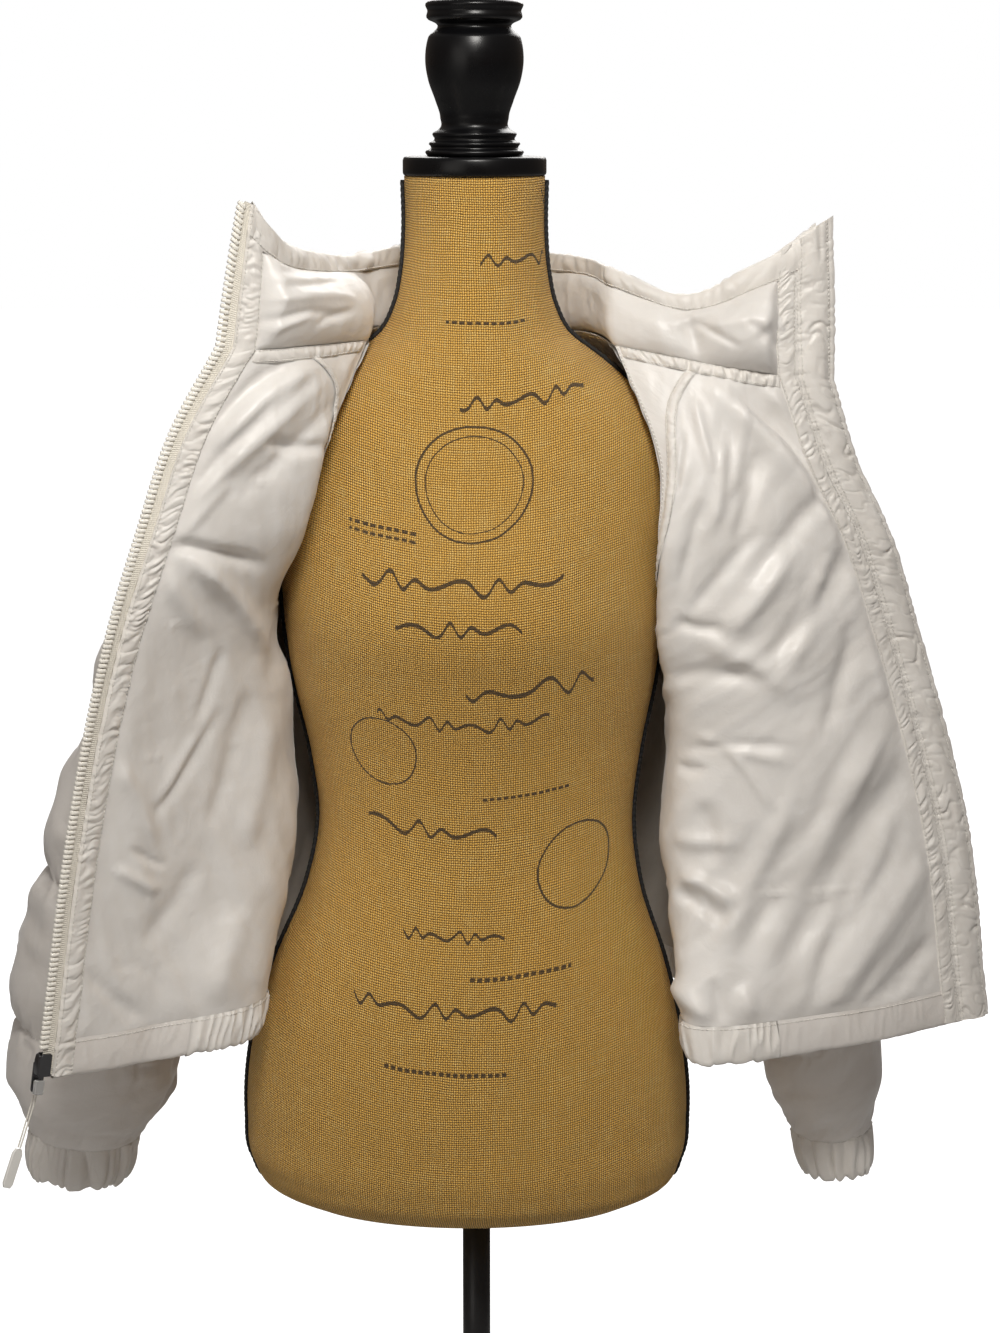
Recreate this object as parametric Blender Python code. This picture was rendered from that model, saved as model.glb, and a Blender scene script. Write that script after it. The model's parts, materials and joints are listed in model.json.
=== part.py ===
"""Down jacket worn wide open on a limbless dress form.

Metres, +Z up. The origin is the centre of the base's underside, on the floor.
The wearer faces -Y, so the wearer's right (_r) is at -X and the left (_l) at +X.

The jacket is one set of point grids, a grid for each cut piece. A grid's rows run
down the garment and its columns run round it, from the right zip edge past the back
to the left zip edge. Neighbours share the points along their seam, and every wall
is those points moved along normals that the neighbours share too.
"""
import math

import bmesh
import bpy
import mathutils
import numpy as np

MM = 0.001

# ---------------------------------------------------------------- driving sizes
SEAM_GAP = 0.3 * MM          # between pieces that are sewn or stacked
EDGE_TRIM = 0.5 * MM         # each panel's edge stands this far off its seam
LIFT = 0.6 * MM              # between a panel and what is laid on it
TAPE_LIFT = 1.5 * MM         # and the tapes on the lining's seams
LINING = 1.2 * MM            # lining cloth with its seam allowances
SHELL_SEAM = 3.0 * MM        # quilted wall where it is stitched through
PUFF_SHARE = 0.115           # height of a quilted channel over its width
PUFF_EASE = 45 * MM          # distance from a seam at which a channel has its full height
TAPE = 1.0 * MM              # seam tapes
ROWS_PER_CHANNEL = 3
BODY_CHANNELS = 5            # quilted channels from neck to hem
SLEEVE_CHANNELS = 7          # quilted channels from neck to cuff
UNDERARM_ROW = 8             # row of the body grids where the raglan seam ends
BODY_ROWS = BODY_CHANNELS * ROWS_PER_CHANNEL
FRONT_COLUMNS = 8
BACK_COLUMNS = 10
NECK_COLUMNS = 4             # stretch of the neck seam that each sleeve takes

HEM_HEIGHT = 26 * MM
HEM_WALL = 3.5 * MM
HEM_GATHERS = 44
HEM_SPLIT_COLUMN = 4         # where the plain band of a front ends
CUFF_HEIGHT = 30 * MM
CUFF_GATHERS = 16
GATHER_DEPTH = 1.6 * MM
FACING_WIDTH = 14 * MM
FACING_GATHERS = 24
PLACKET_WIDTH = 30 * MM
PLACKET_OVERHANG = 12 * MM
PLACKET_WALL = 5.5 * MM
PLACKET_ROWS = 31
ZIP_TAPE_WIDTH = 9 * MM
SEAM_TAPE_WIDTH = 9 * MM
NECK_TAPE_STOP = 1           # in columns, from the corner where a front meets its sleeve
COLLAR_ROWS = 4
COLLAR_WALL = 9 * MM
COLLAR_LINING_PUFF = 11 * MM
COVERED_R = 22 * MM          # width of the collar's right end that its facing covers
COVERED_L = 40 * MM          # and of its left end, under the placket and the facing
COLLAR_EASE = 14 * MM        # past which the collar's lining has its full puff

TORSO_BOTTOM = 0.335         # height of the form's flat underside
NECK_TOP = 1.099             # height of the form's flat top
POLE_RADIUS = 10.5 * MM
BASE_RADIUS = 0.160
DISC_RADIUS = 51 * MM
DISC_HEIGHT = 13 * MM
PIPING_WIDTH = 4 * MM

SLIDER_LENGTH = 16 * MM
SLIDER_HEIGHT = 9.5 * MM     # its middle over the lower end of the zip tape
SLIDER_WALL = 1.3 * MM
CHANNEL = (-6 * MM, 2.6 * MM)    # its inside: from and to beyond the tape's outer edge
CHANNEL_HALF = 2.1 * MM
ARCH_WIDTH = 3 * MM
ARCH_PLACE = -1.5 * MM       # its middle, beyond the tape's outer edge
PIVOT_HEIGHT = 5.2 * MM      # the tab's axis over the tape's middle
TAB_LENGTH = 22 * MM
TAB_WIDTH = 9 * MM
TAB_WALL = 1.6 * MM
BOX_SIZE = (7 * MM, 10 * MM, 4 * MM)
BOX_DROP = 1.6 * MM          # between the tape's slanting end and the box
CORD_DIAMETER = 1.2 * MM
CORD_END_SIZE = (8 * MM, 28 * MM, 2.4 * MM)
# Each strand of the cord below the eyelet, in mm: outward, along, towards the shell's side.
CORD_PATH = np.array(((.2, -4, 0), (.9, -10, .5), (2.2, -18, 1), (4, -26, .8), (6, -34, .3), (8, -42, 0)))
PIPING_HEIGHT = 2 * MM

# ---------------------------------------------------------------- section tables
# One row for each level of a front, in grid rows counted from the neck seam.
# The points are zip edge, chest, fold beside the form, and raglan or side seam.
FRONT_KNOTS = (0, 3, 6, FRONT_COLUMNS)
FRONT_R = (
    # row  zip edge                chest                   fold                    seam
    (0, (-.161, -.126, .988), (-.143, -.119, .986), (-.112, -.090, .986), (-.076, -.034, .985)),
    (2, (-.193, -.140, .930), (-.150, -.128, .928), (-.106, -.096, .928), (-.099, -.074, .928)),
    (4, (-.215, -.150, .865), (-.166, -.132, .863), (-.117, -.092, .863), (-.126, -.058, .863)),
    (6, (-.234, -.160, .805), (-.190, -.125, .800), (-.141, -.060, .800), (-.150, -.012, .800)),
    (8, (-.249, -.167, .745), (-.204, -.123, .737), (-.139, -.035, .737), (-.150, .045, .737)),
    (11, (-.267, -.175, .650), (-.213, -.122, .642), (-.134, -.030, .642), (-.152, .058, .642)),
    (15, (-.285, -.187, .520), (-.230, -.140, .515), (-.152, -.068, .515), (-.178, .045, .515)),
)
FRONT_L = (
    (0, (.243, -.025, .957), (.205, -.036, .962), (.152, -.034, .971), (.100, -.018, .980)),
    (2, (.262, -.022, .900), (.205, -.050, .903), (.150, -.064, .905), (.130, -.056, .905)),
    (4, (.291, -.015, .840), (.212, -.058, .842), (.138, -.072, .842), (.130, -.062, .842)),
    (6, (.312, -.005, .777), (.222, -.058, .778), (.134, -.056, .778), (.146, -.015, .778)),
    (8, (.331, .000, .716), (.232, -.058, .717), (.142, -.040, .717), (.150, .055, .717)),
    (11, (.356, .002, .620), (.248, -.058, .620), (.140, -.042, .620), (.155, .065, .620)),
    (15, (.372, .000, .500), (.262, -.066, .500), (.150, -.082, .500), (.180, .055, .500)),
)
# The back: right seam, right shoulder blade, centre, left shoulder blade, left seam.
BACK_KNOTS = (0, 3, 5, 7, BACK_COLUMNS)
BACK = (
    (0, (-.055, .064, .986), (-.030, .078, .978), (0, .083, .975), (.030, .078, .977), (.055, .064, .984)),
    (2, (-.088, .088, .930), (-.045, .104, .925), (0, .108, .922), (.045, .104, .923), (.088, .088, .922)),
    (4, (-.125, .104, .865), (-.062, .120, .860), (0, .124, .857), (.062, .120, .856), (.125, .104, .852)),
    (6, (-.150, .092, .800), (-.078, .126, .797), (0, .130, .793), (.078, .127, .790), (.150, .098, .785)),
    (8, (-.150, .045, .737), (-.090, .124, .735), (0, .134, .730), (.090, .127, .724), (.150, .055, .717)),
    (11, (-.152, .058, .642), (-.092, .126, .640), (0, .137, .634), (.092, .129, .627), (.155, .065, .620)),
    (15, (-.178, .045, .515), (-.102, .128, .512), (0, .147, .508), (.102, .132, .504), (.180, .055, .500)),
)
# The neck seam where the sleeves cross the shoulders, from front to back.
NECK_R = ((-.076, -.034, .985), (-.077, -.008, .989), (-.074, .018, .991), (-.067, .042, .990),
          (-.055, .064, .986))
NECK_L = ((.100, -.018, .980), (.095, .000, .984), (.086, .020, .987), (.073, .044, .987),
          (.055, .064, .984))
# Sleeve rings at the ends of the quilted channels, from the second channel down:
# the side next to the body, the outer side, the middle's y and half the depth in y.
SLEEVE_R = (
    # inner x  inner z  outer x  outer z  y      half depth
    (-.182, .708, -.214, .885, .045, .062),
    (-.192, .672, -.250, .790, .032, .060),
    (-.203, .620, -.283, .690, .024, .060),
    (-.213, .548, -.317, .588, .018, .062),
    (-.230, .452, -.341, .474, .010, .062),
    (-.259, .380, -.337, .388, .002, .043),
)
SLEEVE_L = (
    (.184, .690, .216, .872, .050, .060),
    (.192, .655, .244, .778, .072, .058),
    (.198, .598, .266, .672, .084, .058),
    (.206, .520, .284, .560, .088, .056),
    (.228, .434, .305, .450, .080, .050),
    (.250, .360, .306, .364, .068, .036),
)
RING_LEAD = math.radians(25)  # how far the sleeve rings are turned towards the shoulder's top
CREST_RISE = 14 * MM         # height of the shoulder over a straight line from neck to arm
# Tape beside each front's raglan seam: row, columns in from the seam.
ARMHOLE_TAPES = {
    "r": ((.45, 1.3), (1, .7), (2, .1), (3, .05), (7, .05)),
    "l": ((.45, 1.7), (1, 1.0), (2, .6), (3.5, .6)),
}
# The collar's top edge over the columns of the neck seam, right front to left front.
COLLAR_TOP = (
    # column  x     y      z
    (0, -.148, -.116, 1.083), (3, -.136, -.108, 1.066), (6, -.124, -.080, 1.052), (8, -.108, -.038, 1.046),
    (10, -.090, .020, 1.041), (12, -.058, .074, 1.045), (17, .000, .096, 1.046), (22, .058, .076, 1.040),
    (24, .084, .034, 1.038), (26, .100, -.002, 1.032), (28, .144, -.020, 1.016), (31, .202, -.028, 1.040),
    (34, .240, -.024, 1.064),
)
# The dress form's level sections: half width, depth in front, depth behind, middle's x.
TORSO = (
    # z     half   front  back   middle
    (NECK_TOP, .0500, .0480, .0480, .000),
    (1.060, .0495, .0485, .0480, .000),
    (1.030, .0520, .0510, .0500, .000),
    (1.008, .0570, .0540, .0540, .000),
    (.988, .0680, .0580, .0590, .000),
    (.970, .0915, .0630, .0640, .000),
    (.945, .1190, .0700, .0730, .000),
    (.915, .1380, .0800, .0820, .000),
    (.875, .1440, .0930, .0900, .000),
    (.830, .1410, .1100, .0940, -.001),
    (.790, .1390, .1170, .0930, -.001),
    (.740, .1330, .1020, .0880, -.001),
    (.680, .1210, .0850, .0800, .000),
    (.630, .1160, .0800, .0780, .000),
    (.580, .1240, .0850, .0860, -.002),
    (.520, .1460, .0940, .1000, -.005),
    (.455, .1620, .1000, .1120, -.007),
    (.400, .1660, .1000, .1160, -.007),
    (.365, .1620, .0960, .1110, -.007),
    (.345, .1490, .0860, .0990, -.006),
    (TORSO_BOTTOM, .1280, .0720, .0850, -.005),
)
TORSO_SIDES = 28
# Turned finial: height over the disc, radius.
FINIAL = (
    (.0000, .0335), (.0040, .0340), (.0050, .0315), (.0095, .0318), (.0105, .0295), (.0160, .0295),
    (.0185, .0255), (.0270, .0243), (.0380, .0275), (.0520, .0325), (.0680, .0347), (.0820, .0325),
    (.0920, .0280), (.0935, .0315), (.1000, .0330), (.1070, .0315), (.1085, .0270), (.1180, .0230),
    (.1230, .0130),
)
BASE = ((.0000, .1580), (.0020, BASE_RADIUS), (.0080, BASE_RADIUS), (.0120, .1560), (.0170, .0500),
        (.0200, .0230), (.0420, .0200), (.0440, .0180))


for item in list(bpy.data.objects):
    bpy.data.objects.remove(item, do_unlink=True)


# ---------------------------------------------------------------- tools
def smooth(knots, values, at):
    """Smooth curve through the values: cubic pieces, slopes taken from both neighbours."""
    knots = np.asarray(knots, float)
    values = np.asarray(values, float)
    at = np.asarray(at, float)
    steps = np.diff(knots)
    shape = (-1,) + (1,) * (values.ndim - 1)
    chords = np.diff(values, axis=0) / steps.reshape(shape)
    slopes = np.empty_like(values)
    slopes[0], slopes[-1] = chords[0], chords[-1]
    before, after = steps[:-1].reshape(shape), steps[1:].reshape(shape)
    slopes[1:-1] = (chords[:-1] * after + chords[1:] * before) / (before + after)
    piece = np.clip(np.searchsorted(knots, at, side="right") - 1, 0, len(steps) - 1)
    width = steps[piece].reshape(shape)
    t = ((at - knots[piece]) / steps[piece]).reshape(shape)
    return (values[piece] * (1 + 2 * t) * (1 - t) ** 2 + slopes[piece] * width * t * (1 - t) ** 2
            + values[piece + 1] * t ** 2 * (3 - 2 * t) - slopes[piece + 1] * width * t ** 2 * (1 - t))


def panel(table, column_knots, columns):
    """Grid of points (row, column, xyz) of a body panel from its section table."""
    rows = [line[0] for line in table]
    points = np.array([line[1:] for line in table], float)
    levels = smooth(rows, points, np.arange(BODY_ROWS + 1))
    across = smooth(column_knots, levels.transpose(1, 0, 2), np.arange(columns + 1))
    return across.transpose(1, 0, 2)


def unit(vectors):
    return vectors / np.maximum(np.linalg.norm(vectors, axis=-1, keepdims=True), 1e-12)


def grid_normals(points, wrap=False):
    """Normals of a grid, pointing away from the wearer."""
    if wrap:
        ring = np.concatenate([points[:, -1:], points, points[:, :1]], axis=1)
        along = ring[:, 2:] - ring[:, :-2]
    else:
        along = np.gradient(points, axis=1)
    return unit(np.cross(along, np.gradient(points, axis=0)))


def share_normals(groups):
    """Gives points that several grids share one normal, the mean of the groups' own."""
    totals = {}
    for group in groups:
        sums = {}
        for points, normals, _ in group:
            for key, normal in zip(map(tuple, np.round(points.reshape(-1, 3), 4)), normals.reshape(-1, 3)):
                sums[key] = sums.get(key, 0) + normal
        for key, total in sums.items():
            totals[key] = totals.get(key, 0) + unit(total)
    for points, normals, _ in (piece for group in groups for piece in group):
        keys = map(tuple, np.round(points.reshape(-1, 3), 4))
        normals[:] = unit(np.array([totals[key] for key in keys])).reshape(normals.shape)


def trimmed(points, wrap, top=True, bottom=True):
    """The grid with its edges drawn in from its seams."""
    out = points.copy()
    if top:
        out[0] += unit(points[1] - points[0]) * EDGE_TRIM
    if bottom:
        out[-1] += unit(points[-2] - points[-1]) * EDGE_TRIM
    if not wrap:
        out[:, 0] += unit(points[:, 1] - points[:, 0]) * EDGE_TRIM
        out[:, -1] += unit(points[:, -2] - points[:, -1]) * EDGE_TRIM
    return out


def material(name, colour, roughness, metallic=0.0):
    finish = bpy.data.materials.new(name)
    finish.use_nodes = True
    shader = finish.node_tree.nodes["Principled BSDF"]
    shader.inputs["Base Color"].default_value = (*colour, 1)
    shader.inputs["Roughness"].default_value = roughness
    shader.inputs["Metallic"].default_value = metallic
    return finish


def add_mesh(name, vertices, faces, finish, flat=False):
    mesh = bpy.data.meshes.new(name)
    mesh.from_pydata([tuple(v) for v in vertices], [], faces)
    work = bmesh.new()
    work.from_mesh(mesh)
    bmesh.ops.recalc_face_normals(work, faces=work.faces)
    work.to_mesh(mesh)
    work.free()
    mesh.materials.append(finish)
    if not flat:
        mesh.shade_smooth()
        mesh.set_sharp_from_angle(angle=math.radians(40))
    item = bpy.data.objects.new(name, mesh)
    bpy.context.collection.objects.link(item)
    return item


def wall(name, points, normals, inner, outer, finish, wrap=False):
    """Closed wall between two offsets of a grid along its normals."""
    rows, columns = points.shape[:2]
    inner = np.broadcast_to(np.asarray(inner, float), (rows, columns))[..., None]
    outer = np.broadcast_to(np.asarray(outer, float), (rows, columns))[..., None]
    layers = np.concatenate([(points + normals * offset).reshape(-1, 3) for offset in (inner, outer)])
    size = rows * columns
    faces = []

    def at(layer, row, column):
        return layer * size + row * columns + column % columns

    spans = columns if wrap else columns - 1
    for row in range(rows - 1):
        for column in range(spans):
            for layer in (0, 1):
                faces.append([at(layer, row, column), at(layer, row, column + 1),
                              at(layer, row + 1, column + 1), at(layer, row + 1, column)])
    for column in range(spans):
        for row in (0, rows - 1):
            faces.append([at(0, row, column), at(0, row, column + 1),
                          at(1, row, column + 1), at(1, row, column)])
    if not wrap:
        for row in range(rows - 1):
            for column in (0, columns - 1):
                faces.append([at(0, row, column), at(0, row + 1, column),
                              at(1, row + 1, column), at(1, row, column)])
    return add_mesh(name, layers, faces, finish)


def lathe(name, profile, finish, sides, bottom=0.0):
    """Turned piece round the Z axis from rows of height and radius, closed by flat caps."""
    angles = np.arange(sides) * 2 * math.pi / sides
    rings = np.array([[(radius * math.cos(a), radius * math.sin(a), bottom + height) for a in angles]
                      for height, radius in profile])
    return stack(name, rings, finish)


def stack(name, rings, finish):
    """Closed solid through level rings of points, with flat caps."""
    levels, sides = rings.shape[:2]
    faces = []
    for level in range(levels - 1):
        for side in range(sides):
            after = (side + 1) % sides
            faces.append([level * sides + side, level * sides + after,
                          (level + 1) * sides + after, (level + 1) * sides + side])
    faces.append(list(range(sides)))
    faces.append(list(range((levels - 1) * sides, levels * sides)))
    return add_mesh(name, rings.reshape(-1, 3), faces, finish)


def arc_lengths(line):
    return np.concatenate([[0], np.cumsum(np.linalg.norm(np.diff(line, axis=0), axis=-1))])


def channel_puff(points, per_channel, wrap=False):
    """Height of the quilting: nothing on a stitch line, most between two, less near a panel's edges."""
    steps = np.linalg.norm(np.diff(points, axis=0), axis=-1)
    puff = np.zeros(points.shape[:2])
    for start in range(0, len(points) - 1, per_channel):
        width = steps[start:start + per_channel].sum(axis=0)
        for row in range(1, per_channel):
            puff[start + row] = PUFF_SHARE * width * math.sin(math.pi * row / per_channel)
    from_top = np.concatenate([np.zeros((1, points.shape[1])), np.cumsum(steps, axis=0)])
    room = from_top
    if not wrap:
        across = np.linalg.norm(np.diff(points, axis=1), axis=-1)
        from_side = np.concatenate([np.zeros((len(points), 1)), np.cumsum(across, axis=1)], axis=1)
        room = np.minimum(room, np.minimum(from_side, from_side[:, -1:] - from_side))
    return puff * np.clip(room / PUFF_EASE, 0, 1)


# ---------------------------------------------------------------- jacket grids
def front(table, mirrored):
    points = panel(table, FRONT_KNOTS, FRONT_COLUMNS)
    return points[:, ::-1].copy() if mirrored else points


def sleeve(table, neck, front_seam, back_seam, mirrored):
    """Sleeve grid: the raglan ring first, then a ring at each third of a quilted channel."""
    neck_line = smooth(np.linspace(0, NECK_COLUMNS, len(neck)), neck, np.arange(NECK_COLUMNS + 1))
    raglan_ring = np.concatenate([front_seam[::-1], neck_line[1:-1], back_seam[:-1]])
    count = len(raglan_ring)
    place = np.arange(count)
    from_underarm = np.minimum(place, count - place)
    lead = np.sin(math.pi * np.minimum(from_underarm / UNDERARM_ROW, 1)) * np.sign(count / 2 - place)
    turn = place * 2 * math.pi / count + RING_LEAD * lead
    rings = []
    for inner_x, inner_z, outer_x, outer_z, middle_y, half_depth in table:
        inner = np.array((inner_x, middle_y, inner_z))
        outer = np.array((outer_x, middle_y, outer_z))
        across = np.cos(turn)[:, None] * (inner - outer) / 2
        depth = np.sin(turn)[:, None] * np.array((0, -half_depth, 0))
        rings.append((inner + outer) / 2 + across + depth)
    shoulder = (raglan_ring + rings[0]) / 2
    shoulder[:, 2] += CREST_RISE * np.clip(-np.cos(turn), 0, 1)
    at = np.arange(SLEEVE_CHANNELS * ROWS_PER_CHANNEL + 1) / ROWS_PER_CHANNEL
    points = smooth(range(SLEEVE_CHANNELS + 1), [raglan_ring, shoulder] + rings, at)
    return points[:, ::-1].copy() if mirrored else points


front_r = front(FRONT_R, False)
front_l = front(FRONT_L, True)
back = panel(BACK, BACK_KNOTS, BACK_COLUMNS)
# Seams are shared: the back takes the fronts' side seams below the underarm.
back[UNDERARM_ROW:, 0] = front_r[UNDERARM_ROW:, -1]
back[UNDERARM_ROW:, -1] = front_l[UNDERARM_ROW:, 0]
raglan = slice(0, UNDERARM_ROW + 1)
sleeve_r = sleeve(SLEEVE_R, NECK_R, front_r[raglan, -1], back[raglan, 0], False)
sleeve_l = sleeve(SLEEVE_L, NECK_L, front_l[raglan, 0], back[raglan, -1], True)

neck_r = sleeve_r[0, UNDERARM_ROW:UNDERARM_ROW + NECK_COLUMNS + 1]
left_ring = sleeve_l[0, ::-1]
neck_l = left_ring[UNDERARM_ROW:UNDERARM_ROW + NECK_COLUMNS + 1][::-1]
neck_seam = np.concatenate([front_r[0], neck_r[1:], back[0, 1:], neck_l[1:], front_l[0, 1:]])
collar_columns = [line[0] for line in COLLAR_TOP]
collar_top = smooth(collar_columns, [line[1:] for line in COLLAR_TOP], np.arange(len(neck_seam)))
rise = np.linspace(0, 1, COLLAR_ROWS + 1)[:, None, None]
collar = collar_top[None] * (1 - rise) + neck_seam[None] * rise

pieces = {
    "front_r": [front_r, grid_normals(front_r), False],
    "front_l": [front_l, grid_normals(front_l), False],
    "back": [back, grid_normals(back), False],
    "sleeve_r": [sleeve_r, grid_normals(sleeve_r, True), True],
    "sleeve_l": [sleeve_l, grid_normals(sleeve_l, True), True],
    "collar": [collar, grid_normals(collar), False],
}
share_normals([
    [pieces["front_r"], pieces["front_l"], pieces["back"]],
    [pieces["sleeve_r"], pieces["sleeve_l"]],
    [pieces["collar"]],
])
for key in ("front_r", "front_l", "back"):
    level = pieces[key][1][-1]
    level[:, 2] = 0
    level[:] = unit(level)


# ---------------------------------------------------------------- materials
down_cloth = material("quilted shell", (.80, .78, .74), .55)
lining_cloth = material("lining", (.82, .80, .77), .48)
trim_cloth = material("trim", (.80, .77, .71), .55)
ivory_tape = material("zip tape", (.83, .80, .70), .70)
gunmetal = material("gunmetal", (.10, .10, .11), .35, .9)
clear_plastic = material("retainer", (.55, .55, .55), .35)
cream_cord = material("cord", (.80, .77, .70), .75)
burlap = material("burlap", (.55, .33, .10), .90)
black_piping = material("piping", (.02, .02, .02), .75)
black_wood = material("turned wood", (.02, .02, .02), .35)
black_metal = material("black metal", (.03, .03, .03), .45, .5)


# ---------------------------------------------------------------- body, sleeves, linings
def shell_and_lining(name, lining_name, key, lining_rows=None):
    points, normals, wrap = pieces[key]
    cut = trimmed(points, wrap)
    puff = channel_puff(points, ROWS_PER_CHANNEL, wrap)
    wall(name, cut, normals, LINING + SEAM_GAP, SHELL_SEAM + puff, down_cloth, wrap)
    rows = len(points) if lining_rows is None else lining_rows
    wall(lining_name, cut[:rows], normals[:rows], 0, LINING, lining_cloth, wrap)


shell_and_lining("front_shell_r", "lining_r", "front_r")
shell_and_lining("front_shell_l", "lining_l", "front_l")
shell_and_lining("back_shell", "lining_back", "back")
shell_and_lining("sleeve_r", "sleeve_lining_r", "sleeve_r", 7)
shell_and_lining("sleeve_l", "sleeve_lining_l", "sleeve_l", 7)


# ---------------------------------------------------------------- collar
def beside_edges():
    """0 under the facings at the collar's two ends, rising to 1 past them."""
    arc = arc_lengths(neck_seam)
    from_right = (arc - COVERED_R) / COLLAR_EASE
    from_left = (arc[-1] - arc - COVERED_L) / COLLAR_EASE
    return np.clip(np.minimum(from_right, from_left), 0, 1)


def collar_pieces():
    points, normals, _ = pieces["collar"]
    cut = trimmed(points, False)
    columns = cut.shape[1]
    height = np.linspace(0, 1, len(cut))[:, None]
    body = np.sin(math.pi * height) * np.ones(columns)
    body[:, 0] *= 0.3
    body[:, -1] *= 0.3
    wall("collar_shell", cut, normals, LINING + SEAM_GAP, SHELL_SEAM + COLLAR_WALL * body, down_cloth)
    # The lining is puffed towards the neck below the binding, fullest on the two fronts.
    below = cut[1:].copy()
    below[0] += unit(cut[2] - cut[1]) * SEAM_GAP
    low = np.linspace(0, 1, COLLAR_ROWS)[:, None]
    fullness = 0.35 + 0.65 * np.abs(np.linspace(-1, 1, columns)) ** 1.5
    swell = np.sin(math.pi * low) * fullness * beside_edges()
    wall("collar_lining", below, normals[1:], -COLLAR_LINING_PUFF * swell, LINING, lining_cloth)
    ripple = (1 + 0.5 * (np.arange(columns) % 2)) * np.ceil(beside_edges())
    wall("collar_binding", cut[:2], normals[:2], -2 * TAPE * ripple, LINING, trim_cloth)


collar_pieces()


# ---------------------------------------------------------------- edges: facings, zip tapes, placket
def edge_lines(front_key, edge, step):
    """A zip edge from the collar's top to the hem's, its neighbours inside, and its normals."""
    collar_points, collar_normals, _ = pieces["collar"]
    front_points, front_normals, _ = pieces[front_key]
    lines = []
    for column in (edge, edge + step):
        line = np.concatenate([collar_points[:, column], front_points[1:, column]])
        lines.append(np.concatenate([line, line[-1:] + unit(line[-1:] - line[-2:-1]) * HEM_HEIGHT]))
    normals = np.concatenate([collar_normals[:, edge], front_normals[1:, edge], front_normals[-1:, edge]])
    return lines[0], lines[1], normals


def edge_strip(name, front_key, near, far, inner, outer, finish, count, ripple=0.0, columns=1):
    """Strip along a zip edge between two distances from it; a negative one lies outside.

    It has a row at each point of the panel's edge, or count rows at even distances.
    """
    edge, step = (0, 1) if front_key == "front_r" else (-1, -1)
    line, inside, normals = edge_lines(front_key, edge, step)
    towards = unit(inside - line)
    arc = arc_lengths(line)
    at = np.linspace(0, arc[-1], count) if count else arc
    line, towards, normals = (np.stack([np.interp(at, arc, values[:, axis]) for axis in range(3)], axis=1)
                              for values in (line, towards, normals))
    across = np.linspace(near, far, columns + 1)
    points = np.stack([line + towards * distance for distance in across], axis=1)
    around = np.repeat(unit(normals)[:, None], columns + 1, axis=1)
    waves = ripple * (np.arange(len(at)) % 2)[:, None]
    crown = np.sin(np.linspace(0, math.pi, columns + 1))[None] if columns > 1 else 1
    wall(name, points, around, inner * (0.45 + 0.55 * crown) - waves, outer, finish)


strip_rows = 2 * FACING_GATHERS + 1
placket_inside = PLACKET_WIDTH - PLACKET_OVERHANG
edge_strip("facing_r", "front_r", MM, MM + FACING_WIDTH, -LIFT - TAPE, -LIFT,
           trim_cloth, strip_rows, GATHER_DEPTH)
edge_strip("facing_l", "front_l", placket_inside + SEAM_GAP, placket_inside + FACING_WIDTH,
           -LIFT - TAPE, -LIFT, trim_cloth, strip_rows, GATHER_DEPTH)
edge_strip("placket", "front_l", -PLACKET_OVERHANG, placket_inside, -LIFT - PLACKET_WALL, -LIFT,
           trim_cloth, PLACKET_ROWS, GATHER_DEPTH / 2, 3)
for side in "rl":
    edge_strip("zip_tape_" + side, "front_" + side, -SEAM_GAP - ZIP_TAPE_WIDTH, -SEAM_GAP,
               LINING, LINING + TAPE, ivory_tape, None)


# ---------------------------------------------------------------- tapes over the seams of the lining
def on_grid(values, rows, columns):
    """Values between a grid's points, at pairs of a row and a column."""
    row, column = rows.astype(int), columns.astype(int)
    down, across = (rows - row)[:, None], (columns - column)[:, None]
    upper = values[row, column] * (1 - across) + values[row, column + 1] * across
    lower = values[row + 1, column] * (1 - across) + values[row + 1, column + 1] * across
    return upper * (1 - down) + lower * down


def seam_tape(name, seam, beside, seam_normals, beside_normals):
    """Tape on the lining along one side of a seam; beside holds the panel's points next to it."""
    step = beside - seam
    length = np.linalg.norm(step, axis=1, keepdims=True)
    shares = [np.minimum(width / length, 0.9) for width in (LIFT, SEAM_TAPE_WIDTH)]
    points = np.stack([seam + step * share for share in shares], axis=1)
    normals = [unit(seam_normals * (1 - share) + beside_normals * share) for share in shares]
    normals = np.stack(normals, axis=1)
    wall(name, points, normals, -TAPE_LIFT - TAPE, -TAPE_LIFT, trim_cloth)


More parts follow.
